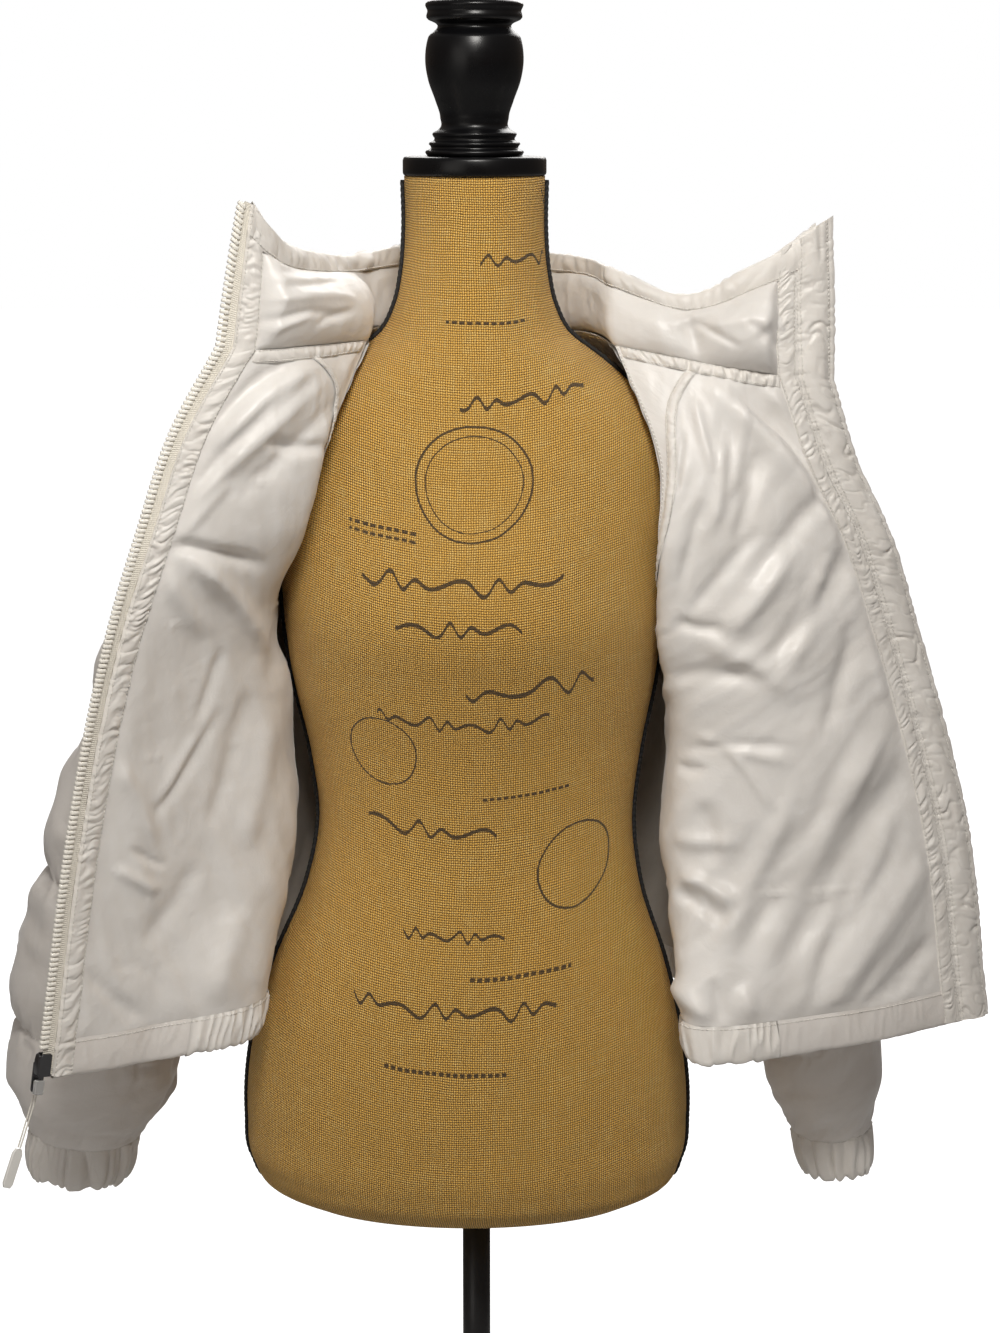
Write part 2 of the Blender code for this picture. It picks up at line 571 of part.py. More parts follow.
def seam_tapes():
    below, below_normals = {}, {}
    for side, order in (("r", 1), ("l", -1)):
        rows, inward = np.array(ARMHOLE_TAPES[side]).T
        at = np.arange(rows[0], rows[-1], 0.5)
        column = np.interp(at, rows, inward)
        grids = [values[:, ::-order] for values in pieces["front_" + side][:2]]
        lines = [on_grid(values, at, column + step) for values in grids for step in (0, 1)]
        seam_tape("armhole_tape_" + side, lines[0], lines[1], lines[2], lines[3])
        taken = slice(UNDERARM_ROW, UNDERARM_ROW + NECK_COLUMNS + 1)
        below[side], below_normals[side] = (values[1, ::order][taken][::order]
                                            for values in pieces["sleeve_" + side][:2])
    front_normals = {side: pieces["front_" + side][1] for side in "rl"}
    line = np.concatenate([front_r[1], below["r"][1:], back[1, 1:], below["l"][1:], front_l[1, 1:]])
    line_normals = np.concatenate([front_normals["r"][1], below_normals["r"][1:], pieces["back"][1][1, 1:],
                                   below_normals["l"][1:], front_normals["l"][1, 1:]])
    # It is cut where it turns the sharp corners from the fronts to the sleeves.
    normals = pieces["collar"][1][-1]
    ends = np.flatnonzero(beside_edges() > 0)[[0, -1]]
    corner_r, corner_l = FRONT_COLUMNS, len(neck_seam) - 1 - FRONT_COLUMNS
    for name, start, end in (("neck_tape_r", ends[0], corner_r - NECK_TAPE_STOP),
                             ("neck_tape_back", corner_r + NECK_TAPE_STOP, corner_l - NECK_TAPE_STOP),
                             ("neck_tape_l", corner_l + NECK_TAPE_STOP, ends[1])):
        at = np.unique(np.concatenate([[start, end], np.arange(math.ceil(start), end)]))
        whole = np.arange(len(neck_seam))
        seam_tape(name, *(np.stack([np.interp(at, whole, values[:, axis]) for axis in range(3)], axis=1)
                          for values in (neck_seam, line, normals, line_normals)))


seam_tapes()


# ---------------------------------------------------------------- hem and cuffs
def hem():
    keys = ("front_r", "back", "front_l")
    line = np.concatenate([pieces[key][0][-1, int(key != "front_r"):] for key in keys])
    above = np.concatenate([pieces[key][0][-2, int(key != "front_r"):] for key in keys])
    normals = np.concatenate([pieces[key][1][-1, int(key != "front_r"):] for key in keys])
    down = unit(line - above)
    last = len(line) - 1
    drops = np.array((SEAM_GAP, HEM_HEIGHT / 2, HEM_HEIGHT))[:, None, None]
    cuts = {"hem_band_r": (0, HEM_SPLIT_COLUMN), "hem_band_l": (last - HEM_SPLIT_COLUMN, last)}
    for name, (start, end) in cuts.items():
        part = slice(start, end + 1)
        points = trimmed(line[part] + down[part] * drops, False, top=False, bottom=False)
        wall(name, points, np.repeat(normals[None, part], 3, axis=0), 0, HEM_WALL, down_cloth)
    part = slice(HEM_SPLIT_COLUMN, last - HEM_SPLIT_COLUMN + 1)
    count = 2 * HEM_GATHERS + 1
    arc = arc_lengths(line[part])
    at = np.linspace(0, arc[-1], count)
    spread = [np.stack([np.interp(at, arc, row[part, axis]) for axis in range(3)], axis=1)
              for row in (line, down, normals)]
    waves = GATHER_DEPTH * (np.arange(count) % 2 - 0.5) * np.array((0.3, 1, 0.8))[:, None]
    points = spread[0] + unit(spread[1]) * drops
    points = trimmed(points, False, top=False, bottom=False)
    around = np.repeat(unit(spread[2])[None], 3, axis=0)
    wall("hem_elastic", points, around, waves, HEM_WALL + waves, trim_cloth)


def cuff(name, key):
    points, _, _ = pieces[key]
    ring = points[-1]
    closed = np.concatenate([ring, ring[:1]])
    arc = arc_lengths(closed)
    count = 2 * CUFF_GATHERS
    at = np.arange(count) * arc[-1] / count
    even = np.stack([np.interp(at, arc, closed[:, axis]) for axis in range(3)], axis=1)
    down = unit((points[-1] - points[-2]).mean(axis=0))
    middle = ring.mean(axis=0)
    levels = []
    for drop, size in ((SEAM_GAP, 1.0), (CUFF_HEIGHT * 0.5, 0.90), (CUFF_HEIGHT, 0.84)):
        levels.append(middle + (even - middle) * size + down * drop)
    levels = np.array(levels)
    normals = grid_normals(levels, True)
    waves = GATHER_DEPTH * (np.arange(count) % 2 - 0.5) * np.array((0.3, 1, 0.8))[:, None]
    wall(name, levels, normals, waves, HEM_WALL + waves, trim_cloth, True)


hem()
cuff("cuff_r", "sleeve_r")
cuff("cuff_l", "sleeve_l")


# ---------------------------------------------------------------- zip slider, tab, cord
def prism(name, outline, start, end, finish, frame, origin):
    """Straight solid: an outline in a frame's first two axes, from start to end along its third."""
    count = len(outline)
    local = np.array([(first, second, third) for third in (start, end) for first, second in outline])
    faces = [list(range(count)), list(range(count, 2 * count))]
    faces += [[i, (i + 1) % count, count + (i + 1) % count, count + i] for i in range(count)]
    return add_mesh(name, origin + local @ frame, faces, finish)


def combine(item, other, operation):
    """Joins another solid to an item or cuts it away, and removes the other."""
    modifier = item.modifiers.new("combine", "BOOLEAN")
    modifier.solver = "EXACT"
    modifier.operation = operation
    modifier.object = other
    result = item.evaluated_get(bpy.context.evaluated_depsgraph_get())
    mesh = bpy.data.meshes.new_from_object(result)
    item.modifiers.clear()
    item.data = mesh
    bpy.data.objects.remove(other, do_unlink=True)


def set_origin(item, place):
    item.data.transform(mathutils.Matrix.Translation([-value for value in place]))
    item.location = place


def box_outline(first, second):
    return [(first[0], second[0]), (first[1], second[0]), (first[1], second[1]), (first[0], second[1])]


def zip_end():
    """Lower end of the right zip, with its axes: out from the panel, up the zip, to the shell's side."""
    line, inside, normals = edge_lines("front_r", 0, 1)
    up = unit(line[-2] - line[-1])
    out = line[-1] - inside[-1]
    out = unit(out - up * (out @ up))
    shell_side = np.cross(out, up)
    shell_side *= np.sign(shell_side @ normals[-1])
    middle = line[-1] + out * (SEAM_GAP + ZIP_TAPE_WIDTH) + shell_side * (LINING + TAPE / 2)
    return middle, np.array([out, up, shell_side])


def zip_hardware():
    end, frame = zip_end()
    out, up, shell_side = frame
    middle = end + up * SLIDER_HEIGHT
    low, high = CHANNEL
    half, thick = CHANNEL_HALF, CHANNEL_HALF + SLIDER_WALL
    sideways = np.array([out, shell_side, up])
    section = [(low, half), (high, half), (high, -half), (low, -half),
               (low, -thick), (high + SLIDER_WALL, -thick), (high + SLIDER_WALL, thick), (low, thick)]
    slider = prism("slider", section, -SLIDER_LENGTH / 2, SLIDER_LENGTH / 2, gunmetal, sideways, middle)
    foot, top = thick - SLIDER_WALL / 2, PIVOT_HEIGHT + 3.2 * MM
    arch = [(-4.4 * MM, foot), (-4.4 * MM, top), (4.4 * MM, top), (4.4 * MM, foot),
            (3.1 * MM, foot), (3.1 * MM, top - 1.4 * MM), (-3.1 * MM, top - 1.4 * MM), (-3.1 * MM, foot)]
    lengthways = np.array([up, shell_side, out])
    loop = prism("arch", arch, ARCH_PLACE - ARCH_WIDTH / 2, ARCH_PLACE + ARCH_WIDTH / 2,
                 gunmetal, lengthways, middle)
    combine(slider, loop, "UNION")

    pivot = middle + shell_side * PIVOT_HEIGHT + out * ARCH_PLACE
    side, tail = TAB_WIDTH / 2, TAB_LENGTH - MM
    outline = [(-side, MM), (side, MM), (side, -tail + 2 * MM), (side - 2 * MM, -tail),
               (-side + 2 * MM, -tail), (-side, -tail + 2 * MM)]
    tab = prism("pull_tab", outline, -TAB_WALL / 2, TAB_WALL / 2, gunmetal, frame, pivot)
    holes = (box_outline((-2.6 * MM, 2.6 * MM), (-6.6 * MM, -MM)),
             box_outline((-1.9 * MM, 1.9 * MM), (-tail + 1.6 * MM, -tail + 4.4 * MM)))
    for hole in holes:
        combine(tab, prism("hole", hole, -TAB_WALL, TAB_WALL, gunmetal, frame, pivot), "DIFFERENCE")
    set_origin(tab, pivot)
    width, length, depth = BOX_SIZE
    block = box_outline((-width / 2, width / 2), (-length - BOX_DROP, -BOX_DROP))
    prism("zip_box", block, -depth / 2, depth / 2, clear_plastic, frame, end)

    pull_cord(pivot, frame, -tail + 3 * MM)


def pull_cord(pivot, frame, eyelet):
    """Cord folded double through the tab's eyelet, and the flat piece that holds its two ends."""
    clear = TAB_WALL / 2 + SEAM_GAP + CORD_DIAMETER / 2
    turn = np.array([(0, eyelet - 1.4 * MM, clear + .05 * MM), (0, eyelet - .3 * MM, clear * .7)])
    strand = CORD_PATH * MM + np.array((0, eyelet, 0))
    apart = np.array((0, 0, 1)) * clear * np.linspace(1, .8, len(strand))[:, None]
    knots = np.concatenate([(strand + apart)[::-1], turn, [(0, eyelet, 0)],
                            turn[::-1] * (1, 1, -1), strand - apart])
    count = len(knots)
    # Two more points between each pair of knots, but none at the tight turn through the eyelet.
    near = np.abs(np.arange(count) - (count - 1) / 2) <= len(turn) + 1
    thirds = [step for step in range(3 * count - 2)
              if step % 3 == 0 or not (near[step // 3] and near[step // 3 + 1])]
    line = smooth(range(count), knots, np.array(thirds) / 3)
    curve = bpy.data.curves.new("pull_cord", "CURVE")
    curve.dimensions = "3D"
    curve.bevel_depth = CORD_DIAMETER / 2
    curve.bevel_resolution = 2
    curve.use_fill_caps = True
    spline = curve.splines.new("POLY")
    spline.points.add(len(line) - 1)
    spline.points.foreach_set("co", np.concatenate([line @ frame, np.ones((len(line), 1))], axis=1).ravel())
    curve.materials.append(cream_cord)
    cord = bpy.data.objects.new("pull_cord", curve)
    cord.location = pivot
    bpy.context.collection.objects.link(cord)

    width, length, depth = CORD_END_SIZE
    along = unit(strand[-1] - strand[-2])
    sideways = np.array((along[1], -along[0], 0))
    axes = np.array([sideways, along, (0, 0, 1)]) @ frame
    foot = pivot + (strand[-1] + along * (SEAM_GAP + CORD_DIAMETER / 3)) @ frame
    outline = [(-width * .3, 0), (width * .3, 0), (width / 2, length * .12), (width / 2, length * .88),
               (width * .3, length), (-width * .3, length),
               (-width / 2, length * .88), (-width / 2, length * .12)]
    end_piece = prism("cord_end", outline, -depth / 2, depth / 2, cream_cord, axes, foot)
    set_origin(end_piece, pivot)


zip_hardware()


# ---------------------------------------------------------------- dress form
def torso_rings():
    turn = np.arange(TORSO_SIDES) * 2 * math.pi / TORSO_SIDES
    level = np.ones(TORSO_SIDES)
    rings = []
    for z, half, depth_front, depth_back, middle in TORSO[::-1]:
        depth = np.where(np.sin(turn) < 0, depth_front, depth_back)
        rings.append(np.stack([middle + half * np.cos(turn), depth * np.sin(turn), level * z], axis=1))
    return np.array(rings)


def form():
    rings = torso_rings()
    stack("form_torso", rings, burlap)
    for name, column, sign in (("form_piping_l", 0, 1), ("form_piping_r", TORSO_SIDES // 2, -1)):
        line = rings[1:, column]
        slope = np.gradient(line, axis=0)
        outward = unit(np.stack([sign * slope[:, 2], np.zeros(len(line)), -sign * slope[:, 0]], axis=1))
        half = np.array((0, PIPING_WIDTH / 2, 0))
        points = np.stack([line - half, line + half], axis=1)
        wall(name, points, np.repeat(outward[:, None], 2, axis=1), LIFT, LIFT + PIPING_HEIGHT, black_piping)
    disc_bottom = NECK_TOP + SEAM_GAP
    lathe("neck_disc", ((0, DISC_RADIUS - MM), (MM, DISC_RADIUS), (DISC_HEIGHT - 2 * MM, DISC_RADIUS),
                        (DISC_HEIGHT, DISC_RADIUS - 2 * MM)), black_wood, 24, disc_bottom)
    lathe("finial", FINIAL, black_wood, 18, disc_bottom + DISC_HEIGHT + SEAM_GAP)
    lathe("base", BASE, black_metal, 32)
    pole_bottom = BASE[-1][0] + SEAM_GAP
    lathe("pole", ((0, POLE_RADIUS), (TORSO_BOTTOM - SEAM_GAP - pole_bottom, POLE_RADIUS)), black_metal, 16,
          pole_bottom)


form()
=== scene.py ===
import json
import math

import bpy
import mathutils
import numpy as np
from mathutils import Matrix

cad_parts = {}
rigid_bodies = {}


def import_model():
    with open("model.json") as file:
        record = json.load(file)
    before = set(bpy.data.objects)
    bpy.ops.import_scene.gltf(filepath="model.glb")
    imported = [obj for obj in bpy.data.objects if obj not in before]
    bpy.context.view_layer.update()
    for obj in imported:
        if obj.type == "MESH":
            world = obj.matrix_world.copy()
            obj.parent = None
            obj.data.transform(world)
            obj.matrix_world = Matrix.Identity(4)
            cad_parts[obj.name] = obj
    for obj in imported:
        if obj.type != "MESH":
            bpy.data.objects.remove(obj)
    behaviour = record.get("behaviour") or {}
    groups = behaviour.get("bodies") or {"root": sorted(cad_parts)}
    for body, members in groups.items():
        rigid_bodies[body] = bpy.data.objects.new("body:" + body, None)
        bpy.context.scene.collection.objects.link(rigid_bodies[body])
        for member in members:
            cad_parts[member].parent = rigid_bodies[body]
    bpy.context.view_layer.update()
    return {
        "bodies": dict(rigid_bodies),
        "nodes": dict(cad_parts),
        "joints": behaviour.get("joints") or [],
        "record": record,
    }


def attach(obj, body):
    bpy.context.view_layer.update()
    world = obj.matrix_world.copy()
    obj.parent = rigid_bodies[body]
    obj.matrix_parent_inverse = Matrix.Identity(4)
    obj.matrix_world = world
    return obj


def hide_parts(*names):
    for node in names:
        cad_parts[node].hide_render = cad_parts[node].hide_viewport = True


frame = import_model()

mm = 0.001
mainBody, pullBody = "jacket_and_form", "pull"

# Camera and the photograph's own pixels.
photo = {"width": 1000, "height": 1333, "focal": 2778, "eye": (0.018, -2.0, 1.148), "down": 561.5}
pitch = math.atan(photo["down"] / photo["focal"])


# Where points fall in the photograph, in its pixels.
def photoPixels(points):
    offset = points - np.array(photo["eye"])
    depth = offset[..., 1] * math.cos(pitch) - offset[..., 2] * math.sin(pitch)
    height = offset[..., 1] * math.sin(pitch) + offset[..., 2] * math.cos(pitch)
    return (photo["width"] / 2 + photo["focal"] * offset[..., 0] / depth,
            photo["height"] / 2 - photo["focal"] * height / depth)


# A new object with this data, linked to the scene.
def linked(name, data):
    item = bpy.data.objects.new(name, data)
    bpy.context.collection.objects.link(item)
    return item


camera = linked("camera", bpy.data.cameras.new("camera"))
camera.location = photo["eye"]
camera.rotation_euler = (math.pi / 2 - pitch, 0, 0)
camera.data.sensor_fit = "VERTICAL"
camera.data.sensor_height = 36
camera.data.lens = 36 * photo["focal"] / photo["height"]
camera.data.clip_end = 60
bpy.context.scene.camera = camera

# The jacket's sizes and section tables, in metres, as the frame has them.
size = {
    "rowsPerChannel": 3, "bodyRows": 15, "underarmRow": 8, "frontColumns": 8, "backColumns": 10,
    "neckColumns": 4, "collarRows": 4, "sleeveChannels": 7, "liningWall": 1.2 * mm, "shellSeam": 3 * mm,
    "hemHeight": 26 * mm, "hemWall": 3.5 * mm, "cuffHeight": 30 * mm, "crestRise": 14 * mm,
    "ringLead": math.radians(25), "placketWidth": 30 * mm, "placketOverhang": 12 * mm,
    "tapeReach": 9.3 * mm, "toothPitch": 3.4 * mm, "cordDiameter": 1.2 * mm,
    "torsoTop": 1.099, "torsoBottom": .335,
}
fine = 12        # steps of the fine grids in one step of the section tables

frontR = (
    (0, (-.161, -.126, .988), (-.143, -.119, .986), (-.112, -.090, .986), (-.076, -.034, .985)),
    (2, (-.193, -.140, .930), (-.150, -.128, .928), (-.106, -.096, .928), (-.099, -.074, .928)),
    (4, (-.215, -.150, .865), (-.166, -.132, .863), (-.117, -.092, .863), (-.126, -.058, .863)),
    (6, (-.234, -.160, .805), (-.190, -.125, .800), (-.141, -.060, .800), (-.150, -.012, .800)),
    (8, (-.249, -.167, .745), (-.204, -.123, .737), (-.139, -.035, .737), (-.150, .045, .737)),
    (11, (-.267, -.175, .650), (-.213, -.122, .642), (-.134, -.030, .642), (-.152, .058, .642)),
    (15, (-.285, -.187, .520), (-.230, -.140, .515), (-.152, -.068, .515), (-.178, .045, .515)),
)
frontL = (
    (0, (.243, -.025, .957), (.205, -.036, .962), (.152, -.034, .971), (.100, -.018, .980)),
    (2, (.262, -.022, .900), (.205, -.050, .903), (.150, -.064, .905), (.130, -.056, .905)),
    (4, (.291, -.015, .840), (.212, -.058, .842), (.138, -.072, .842), (.130, -.062, .842)),
    (6, (.312, -.005, .777), (.222, -.058, .778), (.134, -.056, .778), (.146, -.015, .778)),
    (8, (.331, .000, .716), (.232, -.058, .717), (.142, -.040, .717), (.150, .055, .717)),
    (11, (.356, .002, .620), (.248, -.058, .620), (.140, -.042, .620), (.155, .065, .620)),
    (15, (.372, .000, .500), (.262, -.066, .500), (.150, -.082, .500), (.180, .055, .500)),
)
backTable = (
    (0, (-.055, .064, .986), (-.030, .078, .978), (0, .083, .975), (.030, .078, .977), (.055, .064, .984)),
    (2, (-.088, .088, .930), (-.045, .104, .925), (0, .108, .922), (.045, .104, .923), (.088, .088, .922)),
    (4, (-.125, .104, .865), (-.062, .120, .860), (0, .124, .857), (.062, .120, .856), (.125, .104, .852)),
    (6, (-.150, .092, .800), (-.078, .126, .797), (0, .130, .793), (.078, .127, .790), (.150, .098, .785)),
    (8, (-.150, .045, .737), (-.090, .124, .735), (0, .134, .730), (.090, .127, .724), (.150, .055, .717)),
    (11, (-.152, .058, .642), (-.092, .126, .640), (0, .137, .634), (.092, .129, .627), (.155, .065, .620)),
    (15, (-.178, .045, .515), (-.102, .128, .512), (0, .147, .508), (.102, .132, .504), (.180, .055, .500)),
)
neckR = ((-.076, -.034, .985), (-.077, -.008, .989), (-.074, .018, .991), (-.067, .042, .990),
         (-.055, .064, .986))
neckL = ((.100, -.018, .980), (.095, .000, .984), (.086, .020, .987), (.073, .044, .987), (.055, .064, .984))
sleeveTableR = (
    (-.182, .708, -.214, .885, .045, .062), (-.192, .672, -.250, .790, .032, .060),
    (-.203, .620, -.283, .690, .024, .060), (-.213, .548, -.317, .588, .018, .062),
    (-.230, .452, -.341, .474, .010, .062), (-.259, .380, -.337, .388, .002, .043),
)
sleeveTableL = (
    (.184, .690, .216, .872, .050, .060), (.192, .655, .244, .778, .072, .058),
    (.198, .598, .266, .672, .084, .058), (.206, .520, .284, .560, .088, .056),
    (.228, .434, .305, .450, .080, .050), (.250, .360, .306, .364, .068, .036),
)
collarTable = (
    (0, -.148, -.116, 1.083), (3, -.136, -.108, 1.066), (6, -.124, -.080, 1.052), (8, -.108, -.038, 1.046),
    (10, -.090, .020, 1.041), (12, -.058, .074, 1.045), (17, .000, .096, 1.046), (22, .058, .076, 1.040),
    (24, .084, .034, 1.038), (26, .100, -.002, 1.032), (28, .144, -.020, 1.016), (31, .202, -.028, 1.040),
    (34, .240, -.024, 1.064),
)


# Cubic pieces through the values, slopes taken from both neighbours.
def smooth(knots, values, at):
    knots, values, at = (np.asarray(item, float) for item in (knots, values, at))
    steps = np.diff(knots)
    shape = (-1,) + (1,) * (values.ndim - 1)
    chords = np.diff(values, axis=0) / steps.reshape(shape)
    slopes = np.empty_like(values)
    slopes[0], slopes[-1] = chords[0], chords[-1]
    before, after = steps[:-1].reshape(shape), steps[1:].reshape(shape)
    slopes[1:-1] = (chords[:-1] * after + chords[1:] * before) / (before + after)
    piece = np.clip(np.searchsorted(knots, at, side="right") - 1, 0, len(steps) - 1)
    width = steps[piece].reshape(shape)
    t = ((at - knots[piece]) / steps[piece]).reshape(shape)
    return (values[piece] * (1 + 2 * t) * (1 - t) ** 2 + slopes[piece] * width * t * (1 - t) ** 2
            + values[piece + 1] * t ** 2 * (3 - 2 * t) - slopes[piece + 1] * width * t ** 2 * (1 - t))


def unit(vectors):
    return vectors / np.maximum(np.linalg.norm(vectors, axis=-1, keepdims=True), 1e-9)


# Normals of a grid, away from the wearer: across the columns times down the rows.
def normalsOf(grid, wrap=False):
    if wrap:
        ring = np.concatenate([grid[:, -1:], grid, grid[:, :1]], axis=1)
        across = ring[:, 2:] - ring[:, :-2]
    else:
        across = np.gradient(grid, axis=1)
    return unit(np.cross(across, np.gradient(grid, axis=0)))


# Distance along the surface from the first row or column, in metres.
def lengths(grid, axis):
    steps = np.linalg.norm(np.diff(grid, axis=axis), axis=-1)
    start = np.zeros_like(np.take(steps, [0], axis=axis))
    return np.concatenate([start, np.cumsum(steps, axis=axis)], axis=axis)


# Values between those of a line's points, at distances from its start.
def atDistance(at, arc, values):
    return np.stack([np.interp(at, arc, values[:, axis]) for axis in range(3)], axis=1)


# Smooth random heights from -1 to 1, a lattice of seeded values blended cubically.
def noise(x, y, seed):
    table = np.random.default_rng(seed).uniform(-1, 1, (64, 64))
    column, row = np.floor(x).astype(int), np.floor(y).astype(int)
    s, t = x - column, y - row
    s, t = s * s * (3 - 2 * s), t * t * (3 - 2 * t)
    left = table[row % 64, column % 64] * (1 - t) + table[(row + 1) % 64, column % 64] * t
    right = table[row % 64, (column + 1) % 64] * (1 - t) + table[(row + 1) % 64, (column + 1) % 64] * t
    return left * (1 - s) + right * s


# Sharp-edged creases: one less the size of the noise, at finer and finer scales.
def crinkle(x, y, seed, octaves=3):
    total, share = 0, 1
    for octave in range(octaves):
        total = total + share * (1 - 2 * np.abs(noise(x, y, seed + octave)) ** 0.8)
        x, y, share = x * 1.93 + 7.1, y * 1.93 + 3.7, share * 0.5
    return total


# Gathered cloth: round ridges between sharp valleys, the size of the noise to the power 0.6.
def lobes(x, y, seed):
    return 2.2 * np.abs(noise(x, y, seed)) ** 0.6 - 1


def turned(x, y, degrees):
    angle = math.radians(degrees)
    return x * math.cos(angle) + y * math.sin(angle), y * math.cos(angle) - x * math.sin(angle)


# A mesh from arrays of points and faces; its corners' flat lengths in metres are the UV map.
def rawMesh(name, points, faces, finish, corners=None):
    mesh = bpy.data.meshes.new(name)
    mesh.vertices.add(len(points))
    mesh.vertices.foreach_set("co", points.astype(np.float32).ravel())
    mesh.loops.add(faces.size)
    mesh.loops.foreach_set("vertex_index", faces.astype(np.int32).ravel())
    mesh.polygons.add(len(faces))
    mesh.polygons.foreach_set("loop_start", np.arange(0, faces.size, faces.shape[1], dtype=np.int32))
    mesh.update(calc_edges=True)
    mesh.shade_smooth()
    if corners is None:
        spots = points[faces.ravel()]
        corners = np.stack([spots[:, 0] + spots[:, 1], spots[:, 2]], axis=1)
    layer = mesh.uv_layers.new(name="flat")
    layer.data.foreach_set("uv", corners.astype(np.float32).ravel())
    mesh.materials.append(finish)
    return linked(name, mesh)


# Corner numbers of the faces between a grid's points.
def gridFaces(rows, columns, wrap=False):
    spans = columns if wrap else columns - 1
    row, column = np.meshgrid(np.arange(rows - 1), np.arange(spans), indexing="ij")
    after = (column + 1) % columns
    return np.stack([row * columns + column, row * columns + after, (row + 1) * columns + after,
                     (row + 1) * columns + column], axis=-1).reshape(-1, 4)


# The same faces for each of several copies that have the same number of points.
def copiedFaces(faces, copies, points):
    return (faces[None] + (np.arange(copies) * points)[:, None, None]).reshape(-1, 4)


# One surface from a grid of points, its flat lengths in metres as the UV map.
def gridMesh(name, grid, finish, wrap=False, uv=None, extra=None):
    rows, columns = grid.shape[:2]
    if uv is None:
        uv = (lengths(grid, 1), lengths(grid, 0))
    across, down = (np.broadcast_to(values, (rows, columns)) for values in uv)
    if wrap:
        gap = np.linalg.norm(grid[:, :1] - grid[:, -1:], axis=-1)
        across = np.concatenate([across, across[:, -1:] + gap], axis=1)
        down = np.concatenate([down, down[:, :1]], axis=1)
    flat = np.stack([across, down], axis=-1)
    corners = np.stack([flat[:-1, :-1], flat[:-1, 1:], flat[1:, 1:], flat[1:, :-1]], axis=2)
    item = rawMesh(name, grid.reshape(-1, 3), gridFaces(rows, columns, wrap), finish, corners)
    for key, values in (extra or {}).items():
        attribute = item.data.attributes.new(key, "FLOAT", "POINT")
        values = np.broadcast_to(values, (rows, columns)).astype(np.float32)
        attribute.data.foreach_set("value", values.ravel())
    return item


def place(item, slot, *nodes, body=mainBody):
    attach(item, body)
    if nodes:
        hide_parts(*nodes)
    return item


# Height of the listed folds. Each runs through three places of the photograph's pixels,
# and has a half width in pixels and a height in millimetres; it fades at both its ends.
def foldsAt(points, table):
    x, y = photoPixels(points)
    total = np.zeros(x.shape)
    for (x0, y0), (x1, y1), (x2, y2), halfWidth, height in table:
        best, along = np.full(x.shape, 1e9), np.zeros(x.shape)
        share = np.linspace(0, 1, 17)
        pathX = (1 - share) ** 2 * x0 + 2 * share * (1 - share) * x1 + share ** 2 * x2
        pathY = (1 - share) ** 2 * y0 + 2 * share * (1 - share) * y1 + share ** 2 * y2
        for step in range(16):
            ax, ay, bx, by = pathX[step], pathY[step], pathX[step + 1], pathY[step + 1]
            span = (bx - ax) ** 2 + (by - ay) ** 2
            t = np.clip(((x - ax) * (bx - ax) + (y - ay) * (by - ay)) / span, 0, 1)
            away = np.hypot(x - ax - t * (bx - ax), y - ay - t * (by - ay))
            closer = away < best
            best = np.where(closer, away, best)
            along = np.where(closer, (step + t) / 16, along)
        total += height * mm * np.exp(-(best / halfWidth) ** 2) * np.clip(np.sin(math.pi * along) * 1.6, 0, 1)
    return total


# A new material; returns it with helpers that add a node and join two sockets.
def shaderTree(name, colour, roughness, **inputs):
    finish = bpy.data.materials.new(name)
    finish.use_nodes = True
    tree = finish.node_tree
    shader = tree.nodes["Principled BSDF"]
    shader.inputs["Base Color"].default_value = (*colour, 1)
    shader.inputs["Roughness"].default_value = roughness
    for key, value in inputs.items():
        shader.inputs[key.replace("_", " ")].default_value = value

    def add(kind, settings=None, **sockets):
        item = tree.nodes.new("ShaderNode" + kind)
        for key, value in (settings or {}).items():
            setattr(item, key, value)
        for key, value in sockets.items():
            socket = item.inputs[int(key[1:])] if key[0] == "i" and key[1:].isdigit() else item.inputs[key]
            if isinstance(value, bpy.types.NodeSocket):
                tree.links.new(value, socket)
            else:
                socket.default_value = value
        return item

    return finish, shader, add, tree.links.new


def mathNode(add, operation, first, second=0.0, clamp=False):
    return add("Math", {"operation": operation, "use_clamp": clamp}, i0=first, i1=second).outputs[0]


def noiseNode(add, vector, scale, detail=3.0, distortion=0.0, roughness=0.5):
    return add("TexNoise", Vector=vector, Scale=scale, Detail=detail, Distortion=distortion,
               Roughness=roughness).outputs[0]


def mixColour(add, share, first, second, kind="MIX"):
    item = add("Mix", {"data_type": "RGBA", "blend_type": kind})
    for socket, value in ((item.inputs[0], share), (item.inputs[6], first), (item.inputs[7], second)):
        if isinstance(value, bpy.types.NodeSocket):
            item.id_data.links.new(value, socket)
        else:
            socket.default_value = value if isinstance(value, float) else (*value, 1)
    return item.outputs[2]


def rangeNode(add, value, low, high, toLow=0.0, toHigh=1.0):
    item = add("MapRange", Value=value)
    for key, number in (("From Min", low), ("From Max", high), ("To Min", toLow), ("To Max", toHigh)):
        item.inputs[key].default_value = number
    return item.outputs[0]
